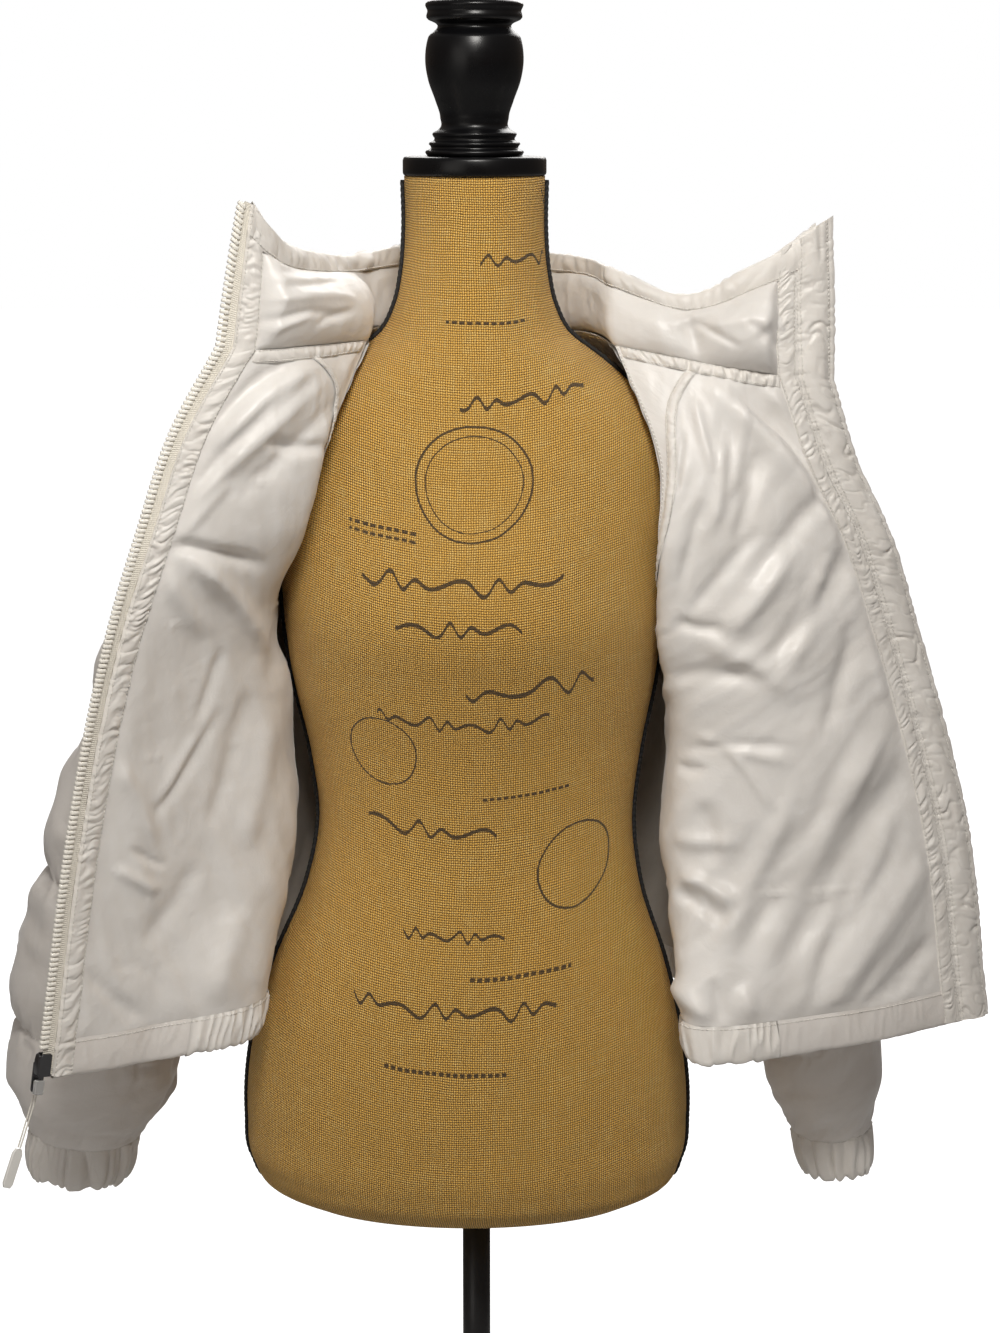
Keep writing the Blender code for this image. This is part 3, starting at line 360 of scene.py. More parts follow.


# Thin down-proof cloth: blotches of down behind it, hair creases, a dull grain, stitched seam lines with
# painted shade along them.
def nylon(name, colour, shade, roughness, creases=0.35, stitched=False):
    finish, shader, add, link = shaderTree(name, colour, roughness, Sheen_Weight=0.25, Sheen_Roughness=0.4,
                                           Specular_IOR_Level=0.45, Subsurface_Weight=0.12)
    shader.inputs["Subsurface Radius"].default_value = (1, .93, .85)
    shader.inputs["Subsurface Scale"].default_value = 0.006
    flat = add("UVMap", {"uv_map": "flat"}).outputs[0]
    blotch = noiseNode(add, flat, 26.0, 4.0, 1.2)
    tint = mixColour(add, rangeNode(add, blotch, 0.35, 0.7), colour, shade)
    grain = noiseNode(add, flat, 2600.0, 1.0)
    wrinkle = noiseNode(add, flat, 48.0, 4.0, 0.5, 0.5)
    shift = add("TexNoise", Vector=flat, Scale=30.0).outputs[1]
    shift = add("VectorMath", {"operation": "SCALE"}, i0=shift, Scale=0.05).outputs[0]
    moved = add("VectorMath", {"operation": "ADD"}, i0=flat, i1=shift).outputs[0]
    hair = add("TexVoronoi", {"feature": "DISTANCE_TO_EDGE"}, Vector=moved, Scale=34.0).outputs[0]
    crease = rangeNode(add, hair, 0.0, 0.03, 1.0, 0.0)
    if stitched:
        near = add("Attribute", {"attribute_name": "seam"}).outputs[2]
        line = rangeNode(add, near, 0.0, 0.0009, 1.0, 0.0)
        dashes = mathNode(add, "PINGPONG", add("SeparateXYZ", Vector=flat).outputs[0], 0.0016)
        thread = mathNode(add, "MULTIPLY", line, rangeNode(add, dashes, 0.0004, 0.0007, 1.0, 0.0))
        # Painted shade: a deeper band along each stitched seam, where the quilting dips; light thread dashes
        # go over it.
        tint = mixColour(add, mathNode(add, "MULTIPLY", line, 0.45), tint, (.42, .39, .35))
        tint = mixColour(add, thread, tint, (.86, .84, .8))
    link(tint, shader.inputs["Base Color"])
    fineHeight = mathNode(add, "ADD", mathNode(add, "MULTIPLY", grain, 0.02),
                          mathNode(add, "ADD", mathNode(add, "MULTIPLY", wrinkle, 1.0),
                                   mathNode(add, "MULTIPLY", crease, -0.035)))
    bump = add("Bump", Strength=creases, Distance=0.004, Height=fineHeight)
    link(bump.outputs[0], shader.inputs["Normal"])
    link(rangeNode(add, wrinkle, 0.3, 0.7, roughness - 0.06, roughness + 0.08), shader.inputs["Roughness"])
    return finish


# Woven tape or thread: fine ribs across it with painted shade between them, and a little random dirt.
def tapeCloth(name, colour, shade, pitch, roughness=0.7):
    finish, shader, add, link = shaderTree(name, colour, roughness, Sheen_Weight=0.2)
    flat = add("UVMap", {"uv_map": "flat"}).outputs[0]
    parts = add("SeparateXYZ", Vector=flat).outputs
    rib = mathNode(add, "PINGPONG", parts[1], pitch)
    rib = rangeNode(add, rib, 0.0, pitch)
    strand = rangeNode(add, mathNode(add, "PINGPONG", parts[0], pitch * 1.5), 0.0, pitch * 1.5)
    height = mathNode(add, "MULTIPLY", rib, mathNode(add, "ADD", strand, 0.4))
    dirt = noiseNode(add, flat, 60.0)
    # Painted shade: the ribs' valleys take the shade colour.
    tint = mixColour(add, rangeNode(add, height, 0.0, 0.9, 0.6, 0.0), colour, shade)
    link(mixColour(add, rangeNode(add, dirt, 0.4, 0.8, 0.0, 0.35), tint, shade), shader.inputs["Base Color"])
    link(add("Bump", Strength=0.6, Distance=pitch, Height=height).outputs[0], shader.inputs["Normal"])
    return finish


# Metal, lacquer or moulded plastic: uneven gloss, fine grain, lighter rubbed patches.
def solidSurface(name, colour, roughness, metallic=0.0, grainScale=900.0, wear=0.15, coat=0.0, strength=0.12,
                 gloss=0.5):
    finish, shader, add, link = shaderTree(name, colour, roughness, Metallic=metallic, Coat_Weight=coat,
                                           Specular_IOR_Level=gloss)
    place3 = add("TexCoord").outputs["Object"]
    cloud = noiseNode(add, place3, 45.0, 5.0)
    grain = noiseNode(add, place3, grainScale, 2.0)
    light = tuple(min(1.0, value * 1.8 + 0.02) for value in colour)
    rubbed = mixColour(add, rangeNode(add, cloud, 0.52, 0.8, 0.0, wear), colour, light)
    link(rubbed, shader.inputs["Base Color"])
    link(rangeNode(add, cloud, 0.3, 0.7, roughness - 0.05, roughness + 0.1), shader.inputs["Roughness"])
    link(add("Bump", Strength=strength, Distance=0.0004, Height=grain).outputs[0], shader.inputs["Normal"])
    return finish


cloth = {
    "shell": nylon("shell nylon", (.755, .72, .685), (.70, .66, .62), .48, .25, True),
    "lining": nylon("lining nylon", (.79, .765, .735), (.745, .715, .68), .42, .20),
    "trim": nylon("trim nylon", (.775, .745, .705), (.72, .685, .64), .48, .26),
    # Painted shade: the back lining is the lining nylon in a deeper tone, standing in for the shade inside
    # the jacket's back.
    "paintedShade": nylon("back lining in painted shade", (.60, .56, .51), (.52, .48, .43), .55, .25),
    "tape": tapeCloth("zip tape", (.86, .82, .735), (.74, .69, .59), .0007),
    "thread": tapeCloth("thread", (.86, .84, .80), (.62, .58, .52), .0004),
    "teeth": solidSurface("moulded teeth", (.90, .87, .80), .34, 0, 1500.0, .1, .2, .1),
    "cord": tapeCloth("cord", (.84, .81, .74), (.62, .58, .5), .0006),
}

# The fine grids of the jacket's panels.
rowsAt = np.linspace(0, size["bodyRows"], size["bodyRows"] * fine + 1)


def bodyGrid(table, columnKnots, columns):
    levels = smooth([line[0] for line in table], np.array([line[1:] for line in table], float), rowsAt)
    across = smooth(columnKnots, levels.transpose(1, 0, 2), np.linspace(0, columns, columns * fine + 1))
    return across.transpose(1, 0, 2)


def neckLine(neck):
    count = size["neckColumns"]
    return smooth(range(count + 1), neck, np.linspace(0, count, count * fine + 1))


frontKnots, backKnots = (0, 3, 6, 8), (0, 3, 5, 7, 10)
gridR = bodyGrid(frontR, frontKnots, size["frontColumns"])
gridL = bodyGrid(frontL, frontKnots, size["frontColumns"])[:, ::-1].copy()
gridBack = bodyGrid(backTable, backKnots, size["backColumns"])
armRow = size["underarmRow"] * fine
fade = np.clip(1 - np.arange(gridBack.shape[1]) / (2 * fine), 0, 1)[None, :, None] ** 2
gridBack[armRow:] += (gridR[armRow:, -1:] - gridBack[armRow:, :1]) * fade
gridBack[armRow:] += (gridL[armRow:, :1] - gridBack[armRow:, -1:]) * fade[:, ::-1]


def sleeveGrid(table, neck, frontSeam, backSeam, mirrored):
    raglan = np.concatenate([frontSeam[::-1], neckLine(neck)[1:-1], backSeam[:-1]])
    count = len(raglan) // fine
    spot = np.arange(len(raglan)) / fine
    fromUnderarm = np.minimum(spot, count - spot)
    lead = np.sin(math.pi * np.minimum(fromUnderarm / size["underarmRow"], 1)) * np.sign(count / 2 - spot)
    turn = spot * 2 * math.pi / count + size["ringLead"] * lead
    rings = []
    for innerX, innerZ, outerX, outerZ, middleY, halfDepth in table:
        inner, outer = np.array((innerX, middleY, innerZ)), np.array((outerX, middleY, outerZ))
        rings.append((inner + outer) / 2 + np.cos(turn)[:, None] * (inner - outer) / 2
                     + np.sin(turn)[:, None] * np.array((0, -halfDepth, 0)))
    shoulder = (raglan + rings[0]) / 2
    shoulder[:, 2] += size["crestRise"] * np.clip(-np.cos(turn), 0, 1)
    channels = size["sleeveChannels"]
    at = np.linspace(0, channels, channels * size["rowsPerChannel"] * fine + 1)
    points = smooth(range(channels + 1), [raglan, shoulder] + rings, at)
    return points[:, ::-1].copy() if mirrored else points


gridSleeveR = sleeveGrid(sleeveTableR, neckR, gridR[:armRow + 1, -1], gridBack[:armRow + 1, 0], False)
gridSleeveL = sleeveGrid(sleeveTableL, neckL, gridL[:armRow + 1, 0], gridBack[:armRow + 1, -1], True)
neckSeam = np.concatenate([gridR[0], neckLine(neckR)[1:], gridBack[0, 1:], neckLine(neckL)[::-1][1:],
                           gridL[0, 1:]])
collarTop = smooth([line[0] for line in collarTable], [line[1:] for line in collarTable],
                   np.linspace(0, collarTable[-1][0], len(neckSeam)))
rise = np.linspace(0, 1, size["collarRows"] * fine + 1)[:, None, None]
gridCollar = collarTop[None] * (1 - rise) + neckSeam[None] * rise


# 0 at a panel's edges, 1 once a distance of ease away from all of them.
def edgeRoom(grid, ease, wrap=False):
    down = lengths(grid, 0)
    room = np.minimum(down, down[-1:] - down)
    if not wrap:
        across = lengths(grid, 1)
        room = np.minimum(room, np.minimum(across, across[:, -1:] - across))
    return np.sin(np.clip(room / ease, 0, 1) * math.pi / 2)


# Height of the quilting and the distance to the nearest stitched seam.
# Each channel swells as a sine's 0.62th power; puckers start at the seams and fade away from them.
# Known fault, kept here: past the last whole channel, which only the collar's
# grid has, near falls below zero, and its 1.5th power has no value.
def quilted(grid, seed, wrap=False, share=0.105, gather=3.2):
    per = size["rowsPerChannel"] * fine
    down, across = lengths(grid, 0), lengths(grid, 1)
    rows = np.arange(len(grid))
    start = np.minimum(rows // per, (len(grid) - 1) // per - 1) * per
    width = down[start + per] - down[start]
    phase = ((rows - start) / per)[:, None]
    near = np.minimum(down - down[start], down[start + per] - down)
    room = edgeRoom(grid, 45 * mm, wrap)
    level = down.mean(axis=1, keepdims=True)
    lumps = (1 + 0.24 * noise(across / .05, level / .04, seed)
             + 0.18 * noise(across / .022, level / .026, seed + 8))
    swell = share * width * np.clip(np.sin(math.pi * phase), 0, 1) ** 0.62 * room * lumps
    pucker = (lobes(across / .0085, level / .014, seed + 1)
              + 0.4 * noise(across / .0045, level / .01, seed + 6))
    pucker = pucker * np.exp(-(near / .013) ** 1.5) * (0.8 + 0.6 * noise(across / .06, level / .06, seed + 7))
    warp = noise(across / .04, level / .04, seed + 5)
    drag = noise(across / .045 + warp, level / .018 + warp, seed + 2)
    drag = (drag + 0.5 * crinkle(across / .05, level / .028 + warp, seed + 4, 2)) * (1 - np.exp(-near / .012))
    height = swell + gather * mm * pucker * np.clip(room * 2, 0, 1) + 1.8 * mm * drag * room
    return np.maximum(height, -1.3 * mm), near


def shellPiece(name, grid, slot, seed, wrap=False, nodes=(), share=0.105):
    height, near = quilted(grid, seed, wrap, share)
    down, across = lengths(grid, 0), lengths(grid, 1)
    edge = down if wrap else np.minimum(down, np.minimum(across, across[:, -1:] - across))
    edge = np.clip(np.minimum(edge, down[-1:] - down) / (5 * mm), 0, 1)
    rounded = np.sqrt(edge * (2 - edge))
    offset = size["liningWall"] + (size["shellSeam"] - size["liningWall"]) * rounded + height
    # One more ring of points at the panel's own edge closes the wall down to the lining.
    sides = ((1, 1), (0, 0)) if wrap else ((1, 1), (1, 1))
    grown = [np.pad(values, sides + ((0, 0),), mode="edge") for values in (grid, normalsOf(grid, wrap))]
    offset = np.pad(offset, sides, constant_values=0.1 * mm)
    points = grown[0] + grown[1] * offset[..., None]
    level = down.mean(axis=1, keepdims=True) + 0 * down if wrap else down
    flat = [np.pad(values, sides, mode="edge") for values in (across, level)]
    item = gridMesh(name, points, cloth[slot], wrap, flat, {"seam": np.pad(near, sides, mode="edge")})
    place(item, "quilted_shell", *nodes)


shellPiece("frontShellR", gridR, "shell", 11, nodes=("front_shell_r",))
shellPiece("frontShellL", gridL, "shell", 21, nodes=("front_shell_l",))
shellPiece("backShell", gridBack, "shell", 31, nodes=("back_shell",))
shellPiece("sleeveR", gridSleeveR, "shell", 41, True, ("sleeve_r",))
shellPiece("sleeveL", gridSleeveL, "shell", 51, True, ("sleeve_l",), 0.08)
print("shells done")


# Values between a grid's points, at pairs of a row and a column.
def onGrid(values, rows, columns):
    rows = np.clip(rows, 0, len(values) - 1.001)
    columns = np.clip(columns, 0, values.shape[1] - 1.001)
    row, column = rows.astype(int), columns.astype(int)
    down, across = (rows - row)[..., None], (columns - column)[..., None]
    upper = values[row, column] * (1 - across) + values[row, column + 1] * across
    lower = values[row + 1, column] * (1 - across) + values[row + 1, column + 1] * across
    return upper * (1 - down) + lower * down


liningLook = {
    "liningR": {
        "covered": (14, 3, 6, 0), "shell": 11,
        "grid": gridR, "node": "lining_r", "seed": 61, "slant": 62, "flat": (.21, .49), "area": .084,
        "folds": (
            # start, middle and end in the photograph's pixels, half width in pixels, height in mm
            ((302, 352), (240, 388), (203, 432), 8, -3.2), ((322, 358), (262, 398), (212, 452), 10, 3.4),
            ((330, 372), (246, 448), (168, 524), 9, 3.0), ((342, 392), (300, 440), (236, 500), 8, -2.0),
            ((326, 444), (300, 453), (262, 440), 6, -3.0), ((290, 380), (230, 440), (182, 510), 6, -1.8),
            ((150, 541), (208, 548), (268, 566), 7, -4.2), ((186, 560), (238, 582), (262, 655), 10, 3.8),
            ((150, 560), (176, 590), (206, 640), 11, 2.6), ((222, 645), (212, 684), (196, 724), 5, -2.0),
            ((222, 706), (190, 764), (146, 826), 5, -1.8), ((202, 728), (176, 764), (156, 806), 5, 1.6),
            ((126, 846), (146, 860), (166, 866), 4, -1.8), ((112, 866), (136, 884), (160, 890), 6, 2.2),
            ((240, 905), (226, 955), (212, 1000), 13, 2.4), ((86, 968), (106, 1000), (150, 1022), 8, -2.0),
            ((268, 700), (262, 780), (240, 850), 12, 2.6), ((244, 690), (232, 760), (206, 830), 8, -2.0),
            ((296, 600), (276, 630), (268, 690), 9, -2.6), ((110, 760), (140, 790), (150, 850), 9, 2.0),
            ((200, 860), (176, 900), (140, 950), 10, -2.0), ((232, 480), (206, 505), (176, 540), 6, 1.8),
        ),
    },
    "liningL": {
        "covered": (3, 30, 6, 0), "shell": 21,
        "grid": gridL, "node": "lining_l", "seed": 71, "slant": 118, "flat": (.25, .48), "area": .094,
        "folds": (
            ((704, 380), (800, 462), (846, 556), 13, 5.0), ((730, 380), (826, 452), (868, 560), 11, -5.0),
            ((728, 392), (776, 420), (840, 486), 7, -2.4), ((760, 386), (800, 420), (826, 470), 7, 2.0),
            ((694, 396), (700, 430), (712, 474), 5, 2.2), ((684, 430), (678, 462), (676, 496), 4, -1.8),
            ((720, 436), (726, 482), (708, 536), 7, 2.4), ((756, 450), (752, 500), (734, 546), 8, -2.6),
            ((742, 400), (742, 450), (728, 500), 6, 1.6), ((704, 500), (690, 540), (680, 590), 6, -1.8),
            ((840, 462), (794, 532), (748, 586), 11, -3.4), ((866, 536), (820, 598), (768, 664), 13, -4.6),
            ((786, 540), (760, 606), (722, 636), 11, 4.0), ((826, 552), (812, 622), (778, 676), 10, 3.6),
            ((760, 526), (724, 572), (688, 612), 8, -2.8), ((676, 618), (696, 632), (726, 626), 6, -2.6),
            ((880, 566), (902, 632), (880, 706), 20, 4.6), ((664, 684), (710, 662), (772, 682), 9, -2.8),
            ((700, 640), (740, 650), (800, 700), 12, 3.0), ((850, 620), (848, 690), (820, 730), 8, -2.8),
            ((680, 752), (724, 741), (802, 746), 5, -1.6), ((690, 732), (736, 754), (796, 762), 6, 1.3),
            ((724, 746), (760, 780), (772, 812), 4, 1.8), ((680, 760), (690, 778), (706, 762), 5, -2.4),
            ((912, 762), (842, 852), (776, 984), 14, -5.4), ((884, 730), (822, 828), (768, 902), 13, 4.2),
            ((932, 850), (884, 902), (820, 1022), 14, 4.4), ((944, 930), (894, 980), (860, 1034), 11, -3.4),
            ((842, 776), (796, 866), (734, 962), 11, -4.0), ((790, 800), (752, 880), (720, 950), 11, 3.0),
            ((676, 892), (706, 902), (728, 924), 7, -4.4), ((678, 872), (712, 886), (736, 906), 8, 3.4),
            ((672, 978), (690, 1000), (712, 1028), 9, 3.4), ((712, 978), (722, 1010), (722, 1036), 6, -3.0),
            ((740, 985), (752, 1012), (748, 1042), 7, 2.4), ((862, 860), (832, 930), (806, 1010), 8, -2.4),
            ((700, 800), (716, 830), (712, 870), 9, -2.2), ((742, 840), (700, 846), (676, 836), 8, 2.2),
        ),
    },
    "liningBack": {
        "covered": (3, 3, 6, 0), "shell": 31,
        "grid": gridBack, "node": "lining_back", "seed": 81, "slant": 90, "flat": (.32, .50), "area": .14,
        "folds": (),
    },
}
liningSurface = {}
for name, look in liningLook.items():
    grid, seed = look["grid"], look["seed"]
    across, down = lengths(grid, 1), lengths(grid, 0)
    # The lining lies flat under the strips sewn along its edges, and swells up past them.
    start, end, top, foot = (value * mm for value in look["covered"])
    room = np.minimum(np.minimum(across - start, across[:, -1:] - across - end),
                      np.minimum(down - top, down[-1:] - down - foot))
    room = np.sin(np.clip(room / (16 * mm), 0, 1) * math.pi / 2)
    lengthwise, sideways = turned(across, down, look["slant"])
    warp = noise(across / .06, down / .06, seed + 5) * 0.8
    height = 1.55 * foldsAt(grid, look["folds"]) * np.clip(room * 1.2, 0, 1)
    height += 2.4 * mm * noise(across / .05, down / .046, seed) * room
    height += 1.3 * mm * noise(lengthwise / .06 + warp, sideways / .012 + warp, seed + 1) * room
    height += 0.45 * mm * crinkle(lengthwise / .05 + warp, sideways / .015, seed + 2) * room
    height += 0.8 * mm * noise(across / .014, down / .009, seed + 3) * np.clip(room, 0, .5) * (1.2 - room)
    cushion = np.maximum(quilted(grid, look["shell"])[0] + 1.8 * mm, 0.5 * mm)
    wall = cushion * np.clip(edgeRoom(grid, 8 * mm), 0, 1)
    height = wall * np.tanh(height / np.maximum(wall, 1e-5)) * (height < 0) + height * (height >= 0)
    height += 1.2 * mm * room
    normals = normalsOf(grid)
    points = grid - normals * (height + 0.2 * mm)[..., None]
    liningSurface[name] = (points, -normals)
    # The back lining takes the dimmed painted-shade copy of the lining nylon.
    item = gridMesh(name, points, cloth["paintedShade" if name == "liningBack" else "lining"])
    place(item, "lining", look["node"])


# The tube inside a sleeve: each of its rings drawn in a little, with soft lengthwise pleats.
# It runs the sleeve's whole length, past the end of its node.
def sleeveLining(name, grid, node, seed):
    sheet = grid[::3]
    across, level = lengths(sheet, 1), lengths(sheet, 0).mean(axis=1)[:, None]
    inward = (1.2 + 1.6 * noise(across / .03, level / .08, seed)
              + 0.8 * noise(across / .012, level / .05, seed + 1))
    points = sheet - normalsOf(sheet, True) * (np.maximum(inward, 0.2) * mm)[..., None]
    item = gridMesh(name, points, cloth["lining"], True, (across, level))
    place(item, "lining", node)


sleeveLining("sleeveLiningR", gridSleeveR, "sleeve_lining_r", 251)
sleeveLining("sleeveLiningL", gridSleeveL, "sleeve_lining_l", 261)
print("linings done")


# Stitches along a line of points, their length four fifths of the pitch.
def stitches(name, points, normals, pitch=3.0 * mm, girth=0.45 * mm, finish="thread"):
    arc = lengths(points[:, None], 0)[:, 0]
    count = int(arc[-1] / pitch)
    at = (np.arange(count) + 0.5) * arc[-1] / count
    centre = atDistance(at, arc, points)
    along = unit(atDistance(at + pitch / 4, arc, points) - centre)
    up = unit(atDistance(at, arc, normals))
    side = np.cross(along, up)
    ringTurn = np.arange(6) * math.pi / 3
    profile = ((-.40, .25), (-.28, .9), (0, 1.0), (.28, .9), (.40, .25))
    ring = (side[:, None] * np.cos(ringTurn)[None, :, None]
            + up[:, None] * np.sin(ringTurn)[None, :, None])
    rings = [centre[:, None] + along[:, None] * (share * pitch) + ring * (girth * wide)
             for share, wide in profile]
    points = np.stack(rings, axis=1)
    sides = len(ringTurn)
    faces = copiedFaces(gridFaces(len(profile), sides, True), count, len(profile) * sides)
    return rawMesh(name, points.reshape(-1, 3), faces, cloth[finish])


def sewn(name, points, normals, **settings):
    return place(stitches(name, points, normals, **settings), "trim")


# Collar: outer quilting, puffed lining, gathered binding.
collarNormals = normalsOf(gridCollar)
collarArc = lengths(gridCollar, 1)
columnAt = np.arange(gridCollar.shape[1]) / fine
collarEnds = np.minimum(collarArc - 14.5 * mm, collarArc[:, -1:] - collarArc - 30.5 * mm)
collarEnds = np.sin(np.clip(collarEnds / (11 * mm), 0, 1) * math.pi / 2) ** 0.8


def collarShell():
    height, near = quilted(gridCollar, 91, share=0.0)
    up = np.linspace(0, 1, len(gridCollar))[:, None]
    arc, down = lengths(gridCollar, 1), lengths(gridCollar, 0)
    room = edgeRoom(gridCollar, 20 * mm)
    height = height + 8.5 * mm * np.sin(math.pi * up) ** 0.7 * room
    height = height + 1.3 * mm * noise(arc / .013, up * 2, 92) * room
    points = gridCollar + collarNormals * (size["liningWall"] + 1.2 * mm * room + height)[..., None]
    item = gridMesh("collarShell", points, cloth["shell"], False, (arc, down), {"seam": near + 1})
    place(item, "quilted_shell", "collar_shell")


collarFullness = (
    # column of the neck seam, share of the collar lining's full puff
    (0, .9), (3, 1.0), (6, 1.05), (8.4, 1.0), (9.3, .85), (9.9, .35), (10.5, .08), (13, .25), (17, .32),
    (21.5, .3), (22.2, .08), (23, .4), (25, .45), (26, .45), (27.3, .6), (28.3, .3), (29.3, 1),
    (30.5, 1.45), (32.5, 1.5), (34, 1.2),
)


def collarLining():
    first = fine - 2
    grid, normals = gridCollar[first:], collarNormals[first:]
    low = np.linspace(0, 1, len(grid))[:, None]
    arc, down = lengths(grid, 1), lengths(grid, 0)
    # Both ends are cushions; the right one stops where the collar turns back behind the neck.
    fullness = np.interp(columnAt, *np.array(collarFullness).T)
    swell = 15 * mm * np.sin(math.pi * low) ** 0.6 * fullness * collarEnds[first:]
    room = np.clip(edgeRoom(grid, 12 * mm) * 1.4, 0, 1)
    radial = noise(arc / .011, down / .05, 93) * np.exp(-np.minimum(low, 1 - low) / .22)
    height = swell + room * (1.0 * mm * radial + 1.1 * mm * noise(arc / .035, down / .02, 94)
                             + 0.35 * mm * crinkle(arc / .02, down / .02, 95))
    height += foldsAt(grid, (
        ((258, 268), (296, 278), (338, 272), 5, -1.6), ((248, 326), (292, 306), (330, 324), 5, -2.6),
        ((252, 300), (300, 296), (342, 306), 5, 2.2), ((262, 284), (300, 290), (330, 286), 4, -1.8),
        ((300, 330), (318, 316), (340, 318), 4, -2.2), ((262, 334), (284, 322), (300, 316), 4, 1.8),
        ((700, 300), (716, 296), (740, 306), 5, -4.6), ((706, 292), (722, 284), (752, 292), 6, 3.0),
        ((670, 330), (700, 312), (722, 308), 7, 3.0), ((740, 350), (716, 336), (696, 322), 4, -2.0),
        ((780, 356), (760, 330), (742, 320), 5, -2.0), ((786, 340), (776, 310), (764, 296), 5, 2.0),
        ((700, 330), (740, 318), (790, 322), 8, 2.4),
        ((672, 296), (690, 322), (700, 356), 7, -2.6), ((750, 345), (770, 330), (792, 300), 5, -1.6),
    )) * room
    points = grid - normals * height[..., None]
    item = gridMesh("collarLining", points, cloth["lining"], False, (arc, down))
    place(item, "lining", "collar_lining")


# Strip folded over the collar's top edge: down the neck side, round the top and down the back.
def collarBinding():
    deep = fine
    outside = gridCollar[:deep - 3]
    arc = np.broadcast_to(collarArc[:1], (deep, gridCollar.shape[1]))
    down = lengths(gridCollar[:deep], 0)
    gathers = 0.9 * lobes(arc / .0085 + 0.4 * noise(arc / .02, down / .01, 98), down / .03, 96)
    gathers = gathers + 1.3 * noise(arc / .018, down / .02, 97)
    band = np.sin(math.pi * np.linspace(0.06, 0.94, deep))[:, None]
    inner = (1.3 + 1.8 * band + 1.25 * gathers * band) * mm
    outer = (2.2 + 1.4 * band[:-3] + 0.9 * gathers[:-3] * band[:-3]) * mm
    front = gridCollar[:deep] - collarNormals[:deep] * inner[..., None]
    rear = outside + collarNormals[:deep - 3] * outer[..., None]
    above = unit(gridCollar[0] - gridCollar[1])
    crest = gridCollar[0] + above * (1.4 * mm)
    crest = crest + above * (0.8 * mm * gathers[0])[:, None]
    points = np.concatenate([front[::-1], crest[None], rear])
    item = gridMesh("collarBinding", points, cloth["trim"], False,
                    (np.broadcast_to(collarArc[:1], points.shape[:2]), lengths(points, 0)))
    place(item, "trim", "collar_binding")
    low = front[-2]
    sewn("bindingStitches", low - collarNormals[deep - 2] * 0.3 * mm, -collarNormals[deep - 2])


collarShell()
collarLining()
collarBinding()
print("collar done")


def edgeSheet(side):
    collar, front, frontNormals = (gridCollar, gridR, normalsOf(gridR))
    around = collarNormals
    if side == "l":
        collar, around = gridCollar[:, ::-1], collarNormals[:, ::-1]
        front, frontNormals = gridL[:, ::-1], normalsOf(gridL)[:, ::-1]
    width = 4 * fine
    points = np.concatenate([collar[:-1, :width], front[:, :width]])
    normals = np.concatenate([around[:-1, :width], frontNormals[:, :width]])
    drop = np.linspace(0, size["hemHeight"], 9)[1:, None, None]
    hem = points[-1:] + unit(points[-1:] - points[-2:-1]) * drop
    return np.concatenate([points, hem]), np.concatenate([normals, np.repeat(normals[-1:], 8, axis=0)])


edgeSheets = {"r": edgeSheet("r"), "l": edgeSheet("l")}


# Points at even steps down a zip edge and at distances from it; negative ones lie outside.
def edgeStrip(side, start, end, columns, step=0.7 * mm):
    sheet, normals = edgeSheets[side]
    arc = lengths(sheet, 0)[:, 0]
    at = np.arange(0, arc[-1] - 0.5 * mm, step)
    rows = np.interp(at, arc, np.arange(len(arc)))[:, None]
    distance = np.linspace(start, end, columns)[None]
    spacing = onGrid(lengths(sheet, 1)[..., None], rows, np.full_like(rows, fine))[..., 0] / fine
    column = np.maximum(distance, 0) / spacing
    rows = rows + 0 * column
    points = onGrid(sheet, rows, column)
    out = unit(onGrid(sheet, rows, 0 * rows) - onGrid(sheet, rows, 0 * rows + 2))
    points = points + out * np.maximum(-distance, 0)[..., None]
    return points, unit(onGrid(normals, rows, column)), at[:, None], distance


def facing(name, side, start, end, slant, seed, *nodes):
    points, around, at, distance = edgeStrip(side, start, end, 15)
    share = (distance - start) / (end - start)
    body = np.sin(math.pi * np.clip(share, 0.02, 0.98)) ** 0.6
    uneven = 0.7 + 0.5 * noise(at / .05, share, seed + 3)
    along = at + slant * (distance - start)
    gathers = lobes(along / .0034 + 1.2 * noise(at / .03, share * 2, seed), share * 1.6, seed + 1)
    gathers = gathers + 0.5 * noise(along / .0058, share, seed + 2)
    height = (0.9 + 1.6 * body + 1.25 * gathers * (0.3 + 0.7 * body) * uneven) * mm
    height = height - 2.4 * mm * np.clip(1 - share * 14, 0, 1)
    height = height - 1.6 * mm * np.clip(1 - (1 - share) * 14, 0, 1)
    front = points - around * height[..., None]
    item = gridMesh(name, front, cloth["trim"], False, (distance + 0 * at, at + 0 * distance))
    place(item, "trim", nodes[0])
    for column in (1, 13):
        line = points[::2, column] - around[::2, column] * (height[::2, column] + 0.2 * mm)[:, None]
        sewn(name + "Stitches" + str(column), line, -around[::2, column], pitch=2.8 * mm, girth=.36 * mm)


facing("facingR", "r", -0.5 * mm, 14.5 * mm, 0.5, 101, "facing_r", "lining_r")
facing("facingL", "l", 16.5 * mm, 30.5 * mm, -0.6, 111, "facing_l", "lining_l")


